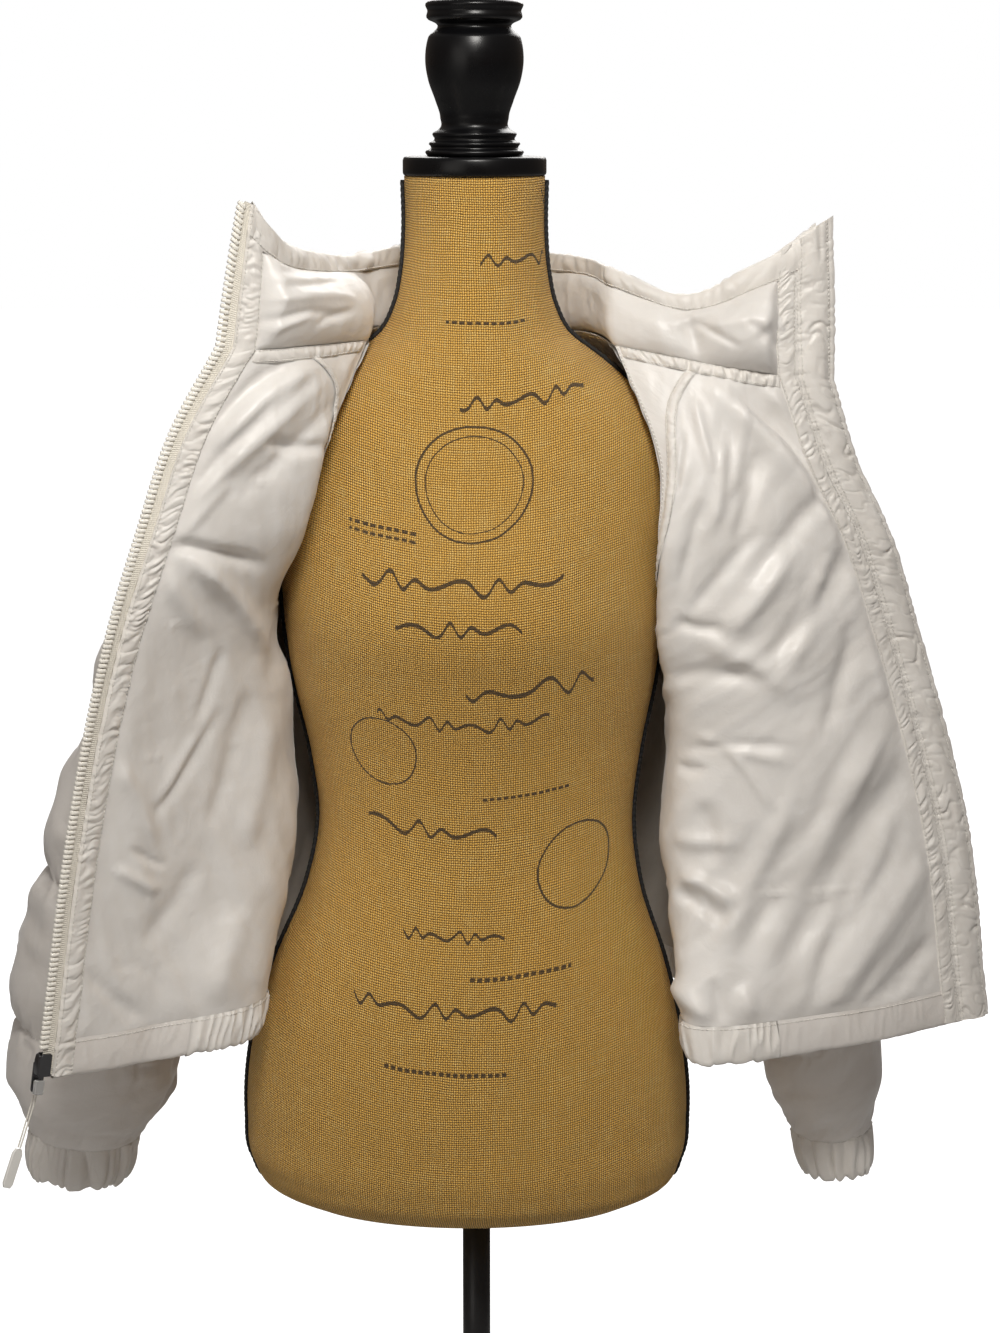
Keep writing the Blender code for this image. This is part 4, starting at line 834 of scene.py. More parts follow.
# Padded strip over the zip: both faces, a rounded outer edge and two stitched rows.
def placket():
    wide, over = size["placketWidth"], size["placketOverhang"]
    points, around, at, distance = edgeStrip("l", -over, wide - over, 33, 0.75 * mm)
    share = (distance + over) / wide
    puff = np.sin(math.pi * np.clip((share - 0.1) / 0.78, 0, 1)) ** 0.5
    lumps = noise(at / .026, share * 1.3, 122)
    taper = 1 - 0.30 * at / at[-1]
    # Creases wander across the strip where a stretched noise passes through nought.
    wander = noise(at / .0125 + 0.7 * noise(at / .02, share * 2.5, 123), share * 1.5, 124)
    crease = np.exp(-(wander / 0.19) ** 2) * np.clip(0.55 + 1.3 * noise(at / .015, share * 2.5, 125), 0, 1)
    crease = crease + 0.3 * np.exp(-(noise(at / .0075 + share, share * 3, 128) / 0.25) ** 2)
    pulls = lobes(at / .0042 - share * 1.2, share * 2.5, 126) * np.exp(-np.abs(share - 0.86) / .07)
    pulls = pulls + lobes(at / .0062 + share, share * 2.5, 127) * np.exp(-np.abs(share - 0.12) / .09)
    height = (1.7 + 5.6 * puff * taper * (1 + 0.26 * lumps) - 1.7 * crease * np.clip(puff * 1.3, 0, 1)
              + 0.9 * pulls) * mm
    front = points - around * height[..., None]
    lift = (0.4 + 1.6 * puff[:, ::-1] * (share[:, ::-1] < 0.36)) * mm
    rear = points[:, ::-1] + around[:, ::-1] * lift[..., None]
    edge = points[:, :1] + unit(points[:, :1] - points[:, 1:2]) * (2.1 + 0.7 * pulls[:, 4:5, None]) * mm
    whole = np.concatenate([edge, front, rear[:, 21:], edge], axis=1)
    item = gridMesh("placket", whole, cloth["trim"], False, (lengths(whole, 1), at + 0 * whole[..., 0]))
    place(item, "trim", "placket")
    for number, column in enumerate((3, 4, 27, 29)):
        line = front[::2, column] - around[::2, column] * 0.15 * mm
        sewn("placketStitches" + str(number), line, -around[::2, column], pitch=3.0 * mm, girth=.38 * mm)


placket()


# The tape's width near its top end, as a share: a quarter circle 11 mm wide.
def cornerShare(at):
    return np.sqrt(np.clip(1 - np.clip(1 - at / (11 * mm), 0, 1) ** 2, 0.01, 1))


def zipTape(side):
    points, around, at, distance = edgeStrip(side, -size["tapeReach"], 0.5 * mm, 9, 2 * mm)
    points = points + (points[:, -1:] - points) * (1 - cornerShare(at))[..., None]
    wave = 0.25 * mm * noise(at / .012, distance / .006, 131)
    front = points + around * (size["liningWall"] + 0.2 * mm + wave)[..., None]
    rear = points[:, ::-1] + around[:, ::-1] * (size["liningWall"] + 0.9 * mm + wave[:, ::-1])[..., None]
    whole = np.concatenate([front, rear, front[:, :1]], axis=1)
    item = gridMesh("zipTape" + side.upper(), whole, cloth["tape"], False,
                    (lengths(whole, 1), at + 0 * whole[..., 0]))
    place(item, "zip_tape", "zip_tape_" + side)
    place(teeth("teeth" + side.upper(), side), "zip_tape")


# Copies of a rounded block: a sphere's sine and cosine taken to a low power, then stretched.
def roundedBlocks(centres, frames, halves, power=0.42, rings=7, sides=10):
    down = np.linspace(0, math.pi, rings)[:, None]
    turn = np.arange(sides)[None] * 2 * math.pi / sides

    def bend(value):
        return np.sign(value) * np.abs(value) ** power

    shape = np.stack([bend(np.sin(down)) * bend(np.cos(turn)), bend(np.sin(down)) * bend(np.sin(turn)),
                      bend(np.cos(down)) + 0 * turn], axis=-1).reshape(-1, 3) * halves
    points = centres[:, None] + np.einsum("pk,nkc->npc", shape, frames)
    outward = gridFaces(rings, sides, True)[:, [0, 3, 2, 1]]
    return points.reshape(-1, 3), copiedFaces(outward, len(centres), len(shape))


toothLook = {
    # half sizes outward, along the zip and through it, and the shift outward, all in mm
    "body": (2.7, 1.38, 1.9), "bodyShift": -0.6, "head": (1.3, 1.55, 1.6), "headShift": 2.0,
}


# Moulded teeth, each a block over the tape's edge with a narrower head beyond it.
def teeth(name, side):
    points, around, at, _ = edgeStrip(side, -size["tapeReach"], 0, 3, size["toothPitch"])
    rounded = points[:, :1] + (points[:, 2:] - points[:, :1]) * (1 - cornerShare(at))[..., None]
    edge, inner, normals = rounded[2:-6, 0], points[2:-6, 2], around[2:-6, 0]
    out = unit(edge - inner)
    along = unit(np.cross(normals, out))
    middle = edge + normals * (size["liningWall"] + 0.5 * mm)
    frames = np.stack([out, along, normals], axis=1)
    body, bodyFaces = roundedBlocks(middle + out * toothLook["bodyShift"] * mm, frames,
                                    np.array(toothLook["body"]) * mm)
    head, headFaces = roundedBlocks(middle + out * toothLook["headShift"] * mm, frames,
                                    np.array(toothLook["head"]) * mm, 0.7)
    return rawMesh(name, np.concatenate([body, head]), np.concatenate([bodyFaces, headFaces + len(body)]),
                   cloth["teeth"])


zipTape("r")
zipTape("l")
print("edges done")


# A strip on a fine grid beside a line of rows and columns, reaching inward by its width.
def seamTape(name, sheet, normals, rows, columns, node, gather, width=7.5 * mm, lift=0.5 * mm, seed=140):
    seam, beside = (onGrid(sheet, rows, columns + shift) for shift in (0, fine))
    span = np.linalg.norm(beside - seam, axis=-1, keepdims=True)
    share = np.linspace(-0.6 * mm, width, 9)
    columns = columns[:, None] + fine * np.clip(share[None] / span, -0.2, 0.95)
    points = onGrid(sheet, rows[:, None] + 0 * columns, np.maximum(columns, 0))
    around = unit(onGrid(normals, rows[:, None] + 0 * columns, np.maximum(columns, 0)))
    at = lengths(seam[:, None], 0)
    across = (share / width)[None]
    body = np.sin(math.pi * np.clip(across, 0.03, 0.97)) ** 0.7
    waves = noise(at / .0029 + noise(at / .02, across, seed), across * 1.2, seed + 1)
    ends = np.clip(np.minimum(at, at[-1] - at) / (4 * mm), 0, 1) ** 0.5
    height = (lift + 1.7 * mm * body + gather * mm * waves * (0.2 + 0.8 * body)) * ends
    points = points - around * height[..., None]
    item = gridMesh(name, points, cloth["trim"], False, (width * across + 0 * at, at + 0 * across))
    place(item, "trim", node)
    for column in (1, 7):
        line = points[:, column] - around[:, column] * 0.15 * mm
        sewn(name + "Stitches" + str(column), line, -around[:, column], pitch=2.8 * mm, girth=.34 * mm)


# Five rows of a tape for each step of the fine grids.
def steps(start, end):
    return np.linspace(start * fine, end * fine, int(abs(end - start) * fine * 5))


tapeTables = {
    "armholeTapeR": (liningSurface["liningR"][0][:, ::-1], normalsOf(gridR)[:, ::-1],
                     ((.25, 1.75), (1, .85), (2, .12), (3, .05), (7, .05)), "armhole_tape_r", 0.5),
    "armholeTapeL": (liningSurface["liningL"][0], normalsOf(gridL),
                     ((.2, 1.9), (1, 1.1), (2, .65), (3.5, .6), (5, .5)), "armhole_tape_l", 0.5),
}
for name, (sheet, normals, table, node, gather) in tapeTables.items():
    rows = steps(table[0][0], table[-1][0])
    knots, inward = np.array(table).T
    seamTape(name, sheet, normals, rows, smooth(knots * fine, inward * fine, rows), node, gather)

deep = 2 * fine
taken = slice(8 * fine, 12 * fine + 1)
sleevePartR = (gridSleeveR[:deep, taken], normalsOf(gridSleeveR, True)[:deep, taken])
sleevePartL = tuple(values[:deep, ::-1][:, taken][:, ::-1]
                    for values in (gridSleeveL, normalsOf(gridSleeveL, True)))
parts = ((gridR[:deep], normalsOf(gridR)[:deep]), sleevePartR, (gridBack[:deep], normalsOf(gridBack)[:deep]),
         sleevePartL, (gridL[:deep], normalsOf(gridL)[:deep]))
neckSheet, neckNormals = (np.concatenate([parts[0][kind]] + [part[kind][:, 1:] for part in parts[1:]], axis=1)
                          for kind in (0, 1))
neckArc = lengths(neckSeam[:, None], 0)[:, 0]
firstColumn = np.searchsorted(neckArc, 13.5 * mm) / fine
lastColumn = np.searchsorted(neckArc, neckArc[-1] - 29.5 * mm) / fine
neckTapes = (
    # name, node, first and last column of the neck seam, height of the gathers in mm
    ("neckTapeR", "neck_tape_r", firstColumn, 7.9, 0.7),
    ("neckTapeBack", "neck_tape_back", 8.4, 25.6, 0.4),
    ("neckTapeL", "neck_tape_l", 26.1, lastColumn, 2.1),
)
for name, node, start, end, gather in neckTapes:
    rows = steps(start, end)
    seamTape(name, neckSheet.transpose(1, 0, 2), neckNormals.transpose(1, 0, 2), rows, np.zeros(len(rows)),
             node, gather, 9 * mm, 0.9 * mm, 150)
print("tapes done")


# A band folded double: down its inner face, round the foot and up its outer face.
def band(name, top, low, normals, node, slot, gather, puff, seed, wrap=False, pitch=3.4 * mm):
    wall = size["hemWall"]
    t = np.concatenate([np.linspace(0, 1, 11), np.ones(3), np.linspace(1, 0, 11)])[:, None]
    side = np.concatenate([np.zeros(11), (0.2, 0.5, 0.8), np.ones(11)])[:, None]
    arc = lengths(top[:, None], 0)[:, 0][None]
    body = np.sin(math.pi * t) ** 0.6
    waves = lobes(arc / pitch + 0.8 * noise(arc / .03, t * 1.3, seed), t * 0.9 + side * 0.4, seed + 1)
    waves = waves + 0.5 * noise(arc / (pitch * 1.9), t * 1.3 + side, seed + 2)
    lumps = 1 + 0.3 * noise(arc / .02, t + side, seed + 3)
    offset = side * wall + (2 * side - 1) * (0.3 + puff * body * lumps) * mm
    offset = offset + gather * mm * waves * (0.3 + 0.7 * body)
    foot = np.sin(math.pi * side) * 1.2 * mm * (np.abs(t - 1) < 1e-6)
    drop = low - top
    points = top[None] + drop[None] * t[..., None] + unit(drop)[None] * foot[..., None]
    points = points + normals[None] * offset[..., None]
    points = points + unit(drop)[None] * (gather * 0.8 * mm * waves * t ** 2)[..., None]
    item = gridMesh(name, points, cloth[slot], wrap, (arc + 0 * t, lengths(points, 0)), {"seam": 1.0})
    place(item, "trim" if slot == "trim" else "quilted_shell", node)
    return points, unit(normals)


hemLine = np.concatenate([gridR[-1], gridBack[-1, 1:], gridL[-1, 1:]])
hemAbove = np.concatenate([gridR[-2], gridBack[-2, 1:], gridL[-2, 1:]])
hemNormals = np.concatenate([normalsOf(gridR)[-1], normalsOf(gridBack)[-1, 1:], normalsOf(gridL)[-1, 1:]])
hemDrop = unit(hemLine - hemAbove) * size["hemHeight"]
split = 4 * fine


def hemPart(name, start, end, node, slot, gather, puff, seed, step, pitch=7 * mm):
    arc = lengths(hemLine[start:end, None], 0)[:, 0]
    at = np.arange(0, arc[-1], step)
    top, drop, normals = (atDistance(at, arc, values[start:end])
                          for values in (hemLine, hemDrop, hemNormals))
    points, around = band(name, top, top + drop, unit(normals), node, slot, gather, puff, seed, False, pitch)
    for number, (row, way) in enumerate(((1, -1), (23, 1))):
        line = points[row] + around * way * 0.2 * mm
        sewn(name + "Stitches" + str(number), line, around * way, pitch=3.0 * mm, girth=.38 * mm)


hemPart("hemBandR", 0, split + 1, "hem_band_r", "shell", 0.35, 1.2, 161, 1.2 * mm)
hemPart("hemBandL", len(hemLine) - split - 1, len(hemLine), "hem_band_l", "shell", 0.35, 1.2, 171, 1.2 * mm)
hemPart("hemElastic", split, len(hemLine) - split, "hem_elastic", "trim", 1.6, 1.6, 181, 0.8 * mm, 5.4 * mm)


cuffLook = {
    # points round the cuff; widths of its foot and top beside the sleeve's end; how far the top tucks in
    "points": 420, "foot": 0.86, "top": 0.95, "tuck": 0.15,
}


def cuff(name, grid, node, seed):
    ring = np.concatenate([grid[-1], grid[-1, :1]])
    arc = lengths(ring[:, None], 0)[:, 0]
    at = np.arange(cuffLook["points"]) * arc[-1] / cuffLook["points"]
    even = atDistance(at, arc, ring)
    down = unit((grid[-1] - grid[-2]).mean(axis=0)) * size["cuffHeight"]
    middle = grid[-1].mean(axis=0)
    low = middle + (even - middle) * cuffLook["foot"] + down
    normals = normalsOf(np.stack([even, low]), True)[0]
    upper = middle + (even - middle) * cuffLook["top"] - down * cuffLook["tuck"]
    points, around = band(name, upper, low, normals, node, "trim", 2.6, 1.3, seed, True, 6 * mm)
    sewn(name + "Stitches", points[23] + around * 0.2 * mm, around, pitch=3.0 * mm, girth=.38 * mm)


cuff("cuffR", gridSleeveR, "cuff_r", 191)
cuff("cuffL", gridSleeveL, "cuff_l", 201)
print("hem and cuffs done")


# Place of the right zip's lower end and its axes: outward, up the zip, to the shell's side.
def zipEnd():
    sheet, normals = edgeSheets["r"]
    coarse = [sheet[-9, 0], sheet[-1, 0]]
    up = unit(coarse[0] - coarse[1])
    inside = sheet[-1, 0] - sheet[-1, fine]
    out = unit(inside - up * (inside @ up))
    shellSide = np.cross(out, up)
    shellSide = shellSide * np.sign(shellSide @ normals[-1, 0])
    return sheet[-1, 0] + out * size["tapeReach"] + shellSide * 1.7 * mm, np.array([out, up, shellSide])


pivot = np.array((-.29749, -.18806, .50504))
zipFoot, zipFrame = zipEnd()
toFrame = zipFoot + zipFrame[1] * 9.5 * mm


# An outline raised to a depth and rounded along its edges; holes are outlines cut right through.
def beveled(name, outline, depth, finish, frame, origin, bevel=0.5 * mm, segments=3, holes=()):
    curve = bpy.data.curves.new(name, "CURVE")
    curve.dimensions = "2D"
    curve.fill_mode = "BOTH"
    for loop in (outline,) + tuple(holes):
        spline = curve.splines.new("POLY")
        spline.points.add(len(loop) - 1)
        spline.use_cyclic_u = True
        spline.points.foreach_set("co", [value for first, second in loop for value in (first, second, 0, 1)])
    curve.extrude = depth / 2 - bevel
    curve.bevel_depth = bevel
    curve.bevel_resolution = segments
    curve.offset = -bevel
    source = linked(name + "Outline", curve)
    mesh = bpy.data.meshes.new_from_object(source.evaluated_get(bpy.context.evaluated_depsgraph_get()))
    bpy.data.objects.remove(source)
    mesh.name = name
    mesh.transform(mathutils.Matrix([[*frame[:, axis], origin[axis]] for axis in range(3)] + [[0, 0, 0, 1]]))
    mesh.materials.clear()
    mesh.materials.append(finish)
    mesh.shade_smooth()
    return linked(name, mesh)


def inMetres(outline):
    return [(x * mm, y * mm) for x, y in outline]


# Outline of a rectangle with round corners, from its corners in millimetres.
def roundedBox(low, high, radius=0.8, count=5):
    points = []
    corners = (high, (low[0], high[1]), low, (high[0], low[1]))
    for corner, (x, y) in enumerate(corners):
        turn = (corner + np.linspace(0, 1, count)) * math.pi / 2
        cx = x - radius * math.copysign(1, x - (low[0] + high[0]) / 2)
        cy = y - radius * math.copysign(1, y - (low[1] + high[1]) / 2)
        points += [(cx + radius * math.cos(angle), cy + radius * math.sin(angle)) for angle in turn]
    return inMetres(points)


gunmetal = solidSurface("gunmetal", (.10, .10, .105), .30, .95, 1400.0, .25, .2, .2)
retainer = solidSurface("grey retainer", (.70, .70, .69), .22, 0, 1400.0, .1, .3, .1)
retainer.node_tree.nodes["Principled BSDF"].inputs["Transmission Weight"].default_value = 0.55


# Several meshes as one object; its normals stay as they are.
def joined(name, items):
    points, faces, start = [], [], 0
    for item in items:
        mesh = item.data
        points += [vertex.co.copy() for vertex in mesh.vertices]
        faces += [[index + start for index in polygon.vertices] for polygon in mesh.polygons]
        start += len(mesh.vertices)
    mesh = bpy.data.meshes.new(name)
    mesh.from_pydata(points, [], faces)
    mesh.materials.append(items[0].data.materials[0])
    mesh.shade_smooth()
    for item in items:
        bpy.data.objects.remove(item)
    return linked(name, mesh)


def slider():
    out, up, shellSide = zipFrame
    plates = []
    across = np.array([out, up, shellSide])
    outline = inMetres([(-6, -8), (2.4, -8), (3.6, -6), (3.9, 3), (3.2, 6.5), (1.2, 8), (-4.6, 8), (-6, 7)])
    for number, height in enumerate((-2.75, 2.75)):
        origin = toFrame + shellSide * height * mm
        plates.append(beveled("plate" + str(number), outline, 1.3 * mm, gunmetal, across, origin, 0.35 * mm))
    wedge = inMetres([(2.6, -7.4), (3.9, -6), (3.9, 6), (2.6, 7.4)])
    side = beveled("side", wedge, 4.6 * mm, gunmetal, across, toFrame, 0.3 * mm)
    lengthways = np.array([up, shellSide, out])
    arch = [(-4.4, 2.8), (-4.3, 6.6), (-3.4, 8), (-2, 8.4), (2, 8.4), (3.4, 8), (4.3, 6.6), (4.4, 2.8),
            (3.1, 2.8), (3.0, 6.2), (2.3, 7), (-2.3, 7), (-3.0, 6.2), (-3.1, 2.8)]
    loop = beveled("arch", inMetres(arch), 3 * mm, gunmetal, lengthways, toFrame - out * 1.5 * mm, 0.4 * mm)
    place(joined("slider", plates + [side, loop]), "gunmetal", "slider")
    blade = [(-3.6, 1), (3.6, 1), (4.5, 0), (4.5, -18.8), (4.1, -20.2), (2.6, -21), (-2.6, -21),
             (-4.1, -20.2), (-4.5, -18.8), (-4.5, 0)]
    holes = (roundedBox((-2.6, -6.6), (2.6, -1.0)), roundedBox((-1.9, -19.4), (1.9, -16.6)))
    tab = beveled("pullTab", inMetres(blade), 1.6 * mm, gunmetal, zipFrame, pivot, 0.4 * mm, 3, holes)
    place(tab, "gunmetal", "pull_tab", body=pullBody)
    block = roundedBox((-3.5, -11.6), (3.5, -1.6), 1.0)
    box = beveled("zipBox", block, 4 * mm, retainer, zipFrame, zipFoot, 0.6 * mm)
    place(box, "retainer", "zip_box")


def cordPath():
    eyelet, clear = -18.0, 1.7
    path = np.array(((.2, -4, 0), (.9, -10, .5), (2.2, -18, 1), (4, -26, .8), (6, -34, .3), (8, -42, 0)))
    strand = path + np.array((0, eyelet, 0))
    apart = np.array((0, 0, 1)) * clear * np.linspace(1, .8, len(strand))[:, None]
    turn = np.array([(0, eyelet - 1.4, clear + .05), (0, eyelet - .3, clear * .7)])
    knots = np.concatenate([(strand + apart)[::-1], turn, [(0, eyelet, 0)], turn[::-1] * (1, 1, -1),
                            strand - apart])
    line = smooth(range(len(knots)), knots, np.linspace(0, len(knots) - 1, 8 * (len(knots) - 1) + 1))
    return pivot + line * mm @ zipFrame, strand


def pullCord():
    line, strand = cordPath()
    curve = bpy.data.curves.new("pullCord", "CURVE")
    curve.dimensions = "3D"
    curve.bevel_depth = size["cordDiameter"] / 2
    curve.bevel_resolution = 3
    curve.use_fill_caps = True
    spline = curve.splines.new("POLY")
    spline.points.add(len(line) - 1)
    spline.points.foreach_set("co", np.concatenate([line, np.ones((len(line), 1))], axis=1).ravel())
    curve.materials.append(solidSurface("cream cord", (.80, .77, .70), .7, 0, 3000.0, .2, 0, .8))
    cord = linked("pullCord", curve)
    place(cord, "cord", "pull_cord", body=pullBody)
    along = unit(strand[-1] - strand[-2])
    axes = np.array([(along[1], -along[0], 0), along, (0, 0, 1)]) @ zipFrame
    foot = pivot + (strand[-1] * mm + along * 0.7 * mm) @ zipFrame
    outline = [(-2.4, 0), (2.4, 0), (4, 3.4), (4, 24.6), (2.6, 27.6), (-2.6, 27.6), (-4, 24.6), (-4, 3.4)]
    moulded = solidSurface("moulded cord end", (.80, .79, .76), .4, 0, 1200.0, .1, 0, .15)
    end = beveled("cordEnd", inMetres(outline), 2.4 * mm, moulded, axes, foot, 0.7 * mm)
    place(end, "cord", "cord_end", body=pullBody)


slider()
pullCord()
print("zip hardware done")


# Dress form: padded torso in coarse weave, pipings, turned disc and finial, pole and base.
torsoTable = (
    # height, half width, depth in front, depth behind, middle
    (1.099, .0500, .0480, .0480, .000), (1.060, .0495, .0485, .0480, .000),
    (1.030, .0520, .0510, .0500, .000), (1.008, .0570, .0540, .0540, .000),
    (.988, .0680, .0580, .0590, .000), (.970, .0915, .0630, .0640, .000),
    (.945, .1190, .0700, .0730, .000), (.915, .1380, .0800, .0820, .000),
    (.875, .1440, .0930, .0900, .000), (.830, .1410, .1100, .0940, -.001),
    (.790, .1390, .1170, .0930, -.001), (.740, .1330, .1020, .0880, -.001),
    (.680, .1210, .0850, .0800, .000), (.630, .1160, .0800, .0780, .000),
    (.580, .1240, .0850, .0860, -.002), (.520, .1460, .0940, .1000, -.005),
    (.455, .1620, .1000, .1120, -.007), (.400, .1660, .1000, .1160, -.007),
    (.365, .1620, .0960, .1110, -.007), (.345, .1490, .0860, .0990, -.006),
    (.335, .1280, .0720, .0850, -.005),
)

burlapLook = {
    # Colours: the deepest is painted shade in the gaps between yarns, the lightest a painted highlight on the
    # yarn tops; the yarn colour is the jute's own, ink is print.
    "warp": .00165, "weft": .00175, "paintedShade": (.12, .045, .003), "yarn": (.93, .52, .088),
    "paintedHighlight": (1.0, .72, .25), "ink": (.018, .014, .012),
    # rings: middle across and down, radius, width; all in metres on the cloth
    "rings": ((.165, .262, .041, .0016), (.165, .262, .034, .0009), (.088, .560, .030, .0016),
              (.232, .470, .026, .0012)),
    # wavy lines: height down, start, end, wave's height, its length, width
    "waves": ((.205, .085, .175, .0045, .019, .0017), (.335, .10, .245, .0060, .026, .0018),
              (.365, .13, .22, .0050, .021, .0016), (.415, .075, .17, .0075, .031, .0019),
              (.44, .11, .235, .0050, .017, .0016), (.525, .15, .245, .0055, .024, .0016),
              (.60, .14, .215, .0040, .015, .0014), (.655, .10, .25, .0055, .022, .0017),
              (.062, .055, .105, .0045, .016, .0016), (.105, .10, .16, .0040, .018, .0015)),
    # rows of dashes: height down, start, end, dash pitch, width
    "dashes": ((.300, .205, .255, .006, .0030), (.306, .205, .255, .006, .0022),
               (.498, .095, .16, .005, .0026), (.630, .09, .165, .0055, .0030),
               (.700, .135, .225, .005, .0028), (.148, .125, .185, .0055, .0024)),
}


# Rings, wavy lines and rows of dashes; 1 where there is ink.
def inkMarks(add, along, down):
    def within(value, start, end):
        return mathNode(add, "MULTIPLY", mathNode(add, "GREATER_THAN", value, start),
                        mathNode(add, "LESS_THAN", value, end))

    marks = []
    for middle, height, radius, width in burlapLook["rings"]:
        first = mathNode(add, "POWER", mathNode(add, "SUBTRACT", along, middle), 2.0)
        second = mathNode(add, "POWER", mathNode(add, "SUBTRACT", down, height), 2.0)
        away = mathNode(add, "SUBTRACT", mathNode(add, "SQRT", mathNode(add, "ADD", first, second)), radius)
        marks.append(mathNode(add, "LESS_THAN", mathNode(add, "ABSOLUTE", away), width / 2))
    for height, start, end, rise, wave, width in burlapLook["waves"]:
        turn = mathNode(add, "MULTIPLY", along, 2 * math.pi / wave)
        skew = mathNode(add, "MULTIPLY", mathNode(add, "SINE", mathNode(add, "MULTIPLY", turn, 0.37)), 1.3)
        curve = mathNode(add, "MULTIPLY", mathNode(add, "SINE", mathNode(add, "ADD", turn, skew)), rise)
        swell = mathNode(add, "ADD", mathNode(add, "MULTIPLY", skew, 0.3), 0.7)
        curve = mathNode(add, "MULTIPLY", curve, swell)
        away = mathNode(add, "SUBTRACT", mathNode(add, "SUBTRACT", down, height), curve)
        line = mathNode(add, "LESS_THAN", mathNode(add, "ABSOLUTE", away), width * 0.9)
        marks.append(mathNode(add, "MULTIPLY", line, within(along, start, end)))
    for height, start, end, pitchAlong, width in burlapLook["dashes"]:
        away = mathNode(add, "ABSOLUTE", mathNode(add, "SUBTRACT", down, height))
        line = mathNode(add, "LESS_THAN", away, width / 2)
        beat = mathNode(add, "PINGPONG", along, pitchAlong / 2)
        gap = mathNode(add, "GREATER_THAN", beat, pitchAlong * 0.16)
        dashed = mathNode(add, "MULTIPLY", line, gap)
        marks.append(mathNode(add, "MULTIPLY", dashed, within(along, start, end)))
    total = marks[0]
    for mark in marks[1:]:
        total = mathNode(add, "MAXIMUM", total, mark)
    return total


# Plain weave: each yarn's roundness, raised where it passes over and lowered where it passes under.
# Its colour has painted shade between the yarns and painted highlights on their tops.
def burlapMaterial():
    finish, shader, add, link = shaderTree("burlap", burlapLook["yarn"], .88, Sheen_Weight=0.15)
    flat = add("UVMap", {"uv_map": "flat"}).outputs[0]
    wander = add("TexNoise", Vector=flat, Scale=24.0, Detail=3.0).outputs[1]
    wander = add("VectorMath", {"operation": "SUBTRACT"}, i0=wander, i1=(0.5, 0.5, 0.5)).outputs[0]
    moved = add("VectorMath", {"operation": "MULTIPLY_ADD"}, i0=wander, i1=(.0045, .0045, 0), i2=flat)
    moved = moved.outputs[0]
    parts = add("SeparateXYZ", Vector=moved).outputs
    waveU = mathNode(add, "SINE", mathNode(add, "MULTIPLY", parts[0], math.pi / burlapLook["warp"]))
    waveV = mathNode(add, "SINE", mathNode(add, "MULTIPLY", parts[1], math.pi / burlapLook["weft"]))
    cross = mathNode(add, "MULTIPLY", mathNode(add, "MULTIPLY", waveU, waveV), 0.5)
    warp = mathNode(add, "ADD", mathNode(add, "MULTIPLY", mathNode(add, "ABSOLUTE", waveU), 0.45), cross)
    weft = mathNode(add, "SUBTRACT", mathNode(add, "MULTIPLY", mathNode(add, "ABSOLUTE", waveV), 0.45), cross)
    weave = mathNode(add, "MAXIMUM", warp, weft)
    slubs = []
    for stretch in ((40.0, 420.0, 1.0), (420.0, 40.0, 1.0)):
        stretched = add("VectorMath", {"operation": "MULTIPLY"}, i0=flat, i1=stretch).outputs[0]
        slubs.append(noiseNode(add, stretched, 1.0))
    yarns = mathNode(add, "MULTIPLY", mathNode(add, "ADD", *slubs), 0.5)
    # Painted shade: the gaps between yarns, where the weave is low, take the shade colour.
    tint = mixColour(add, rangeNode(add, weave, 0.16, 0.68), burlapLook["paintedShade"], burlapLook["yarn"])
    # Painted highlight on the yarn tops, where the slubs of the yarn also raise it.
    slubHighlight = mathNode(add, "MULTIPLY", rangeNode(add, yarns, 0.48, 0.68), rangeNode(add, weave, .4, .8))
    tint = mixColour(add, slubHighlight, tint, burlapLook["paintedHighlight"])
    # Painted highlight: the warp, where it lies over the weft, is made lighter than the weft.
    over = mathNode(add, "GREATER_THAN", warp, weft)
    over = mathNode(add, "MULTIPLY", over, rangeNode(add, weave, .35, .75))
    tint = mixColour(add, mathNode(add, "MULTIPLY", over, 0.4), tint, burlapLook["paintedHighlight"])
    patch = noiseNode(add, flat, 9.0, 3.0)
    tint = mixColour(add, rangeNode(add, patch, 0.35, 0.7, 0.0, 0.2), tint, (.66, .34, .05))
    ink = inkMarks(add, parts[0], parts[1])
    raised = mathNode(add, "ADD", weave, mathNode(add, "MULTIPLY", yarns, 0.6))
    ink = mathNode(add, "MULTIPLY", ink, rangeNode(add, raised, 0.42, 0.66))
    tint = mixColour(add, mathNode(add, "MULTIPLY", ink, 0.9), tint, burlapLook["ink"])
    link(tint, shader.inputs["Base Color"])
    height = mathNode(add, "ADD", weave, mathNode(add, "MULTIPLY", yarns, 0.5))
    link(add("Bump", Strength=1.0, Distance=0.0012, Height=height).outputs[0], shader.inputs["Normal"])
    return finish


# A turned piece from its heights and radii, closed at both ends.
def latheMesh(name, profile, finish, sides):
    profile = np.array([(profile[0][0], 1e-4)] + [tuple(line) for line in profile] + [(profile[-1][0], 1e-4)])
    turn = np.arange(sides) * 2 * math.pi / sides
    points = np.stack([profile[:, 1:] * np.cos(turn), profile[:, 1:] * np.sin(turn),
                       profile[:, :1] + 0 * turn], axis=-1)
    return gridMesh(name, points, finish, True, (turn * 0.05, profile[:, :1] + 0 * turn))


# The torso's half widths, depths and middles at heights; the table runs down, so both are turned over.
def torsoAt(heights):
    knots = np.array(torsoTable)
    return smooth(1.2 - knots[:, 0], knots[:, 1:], 1.2 - heights)


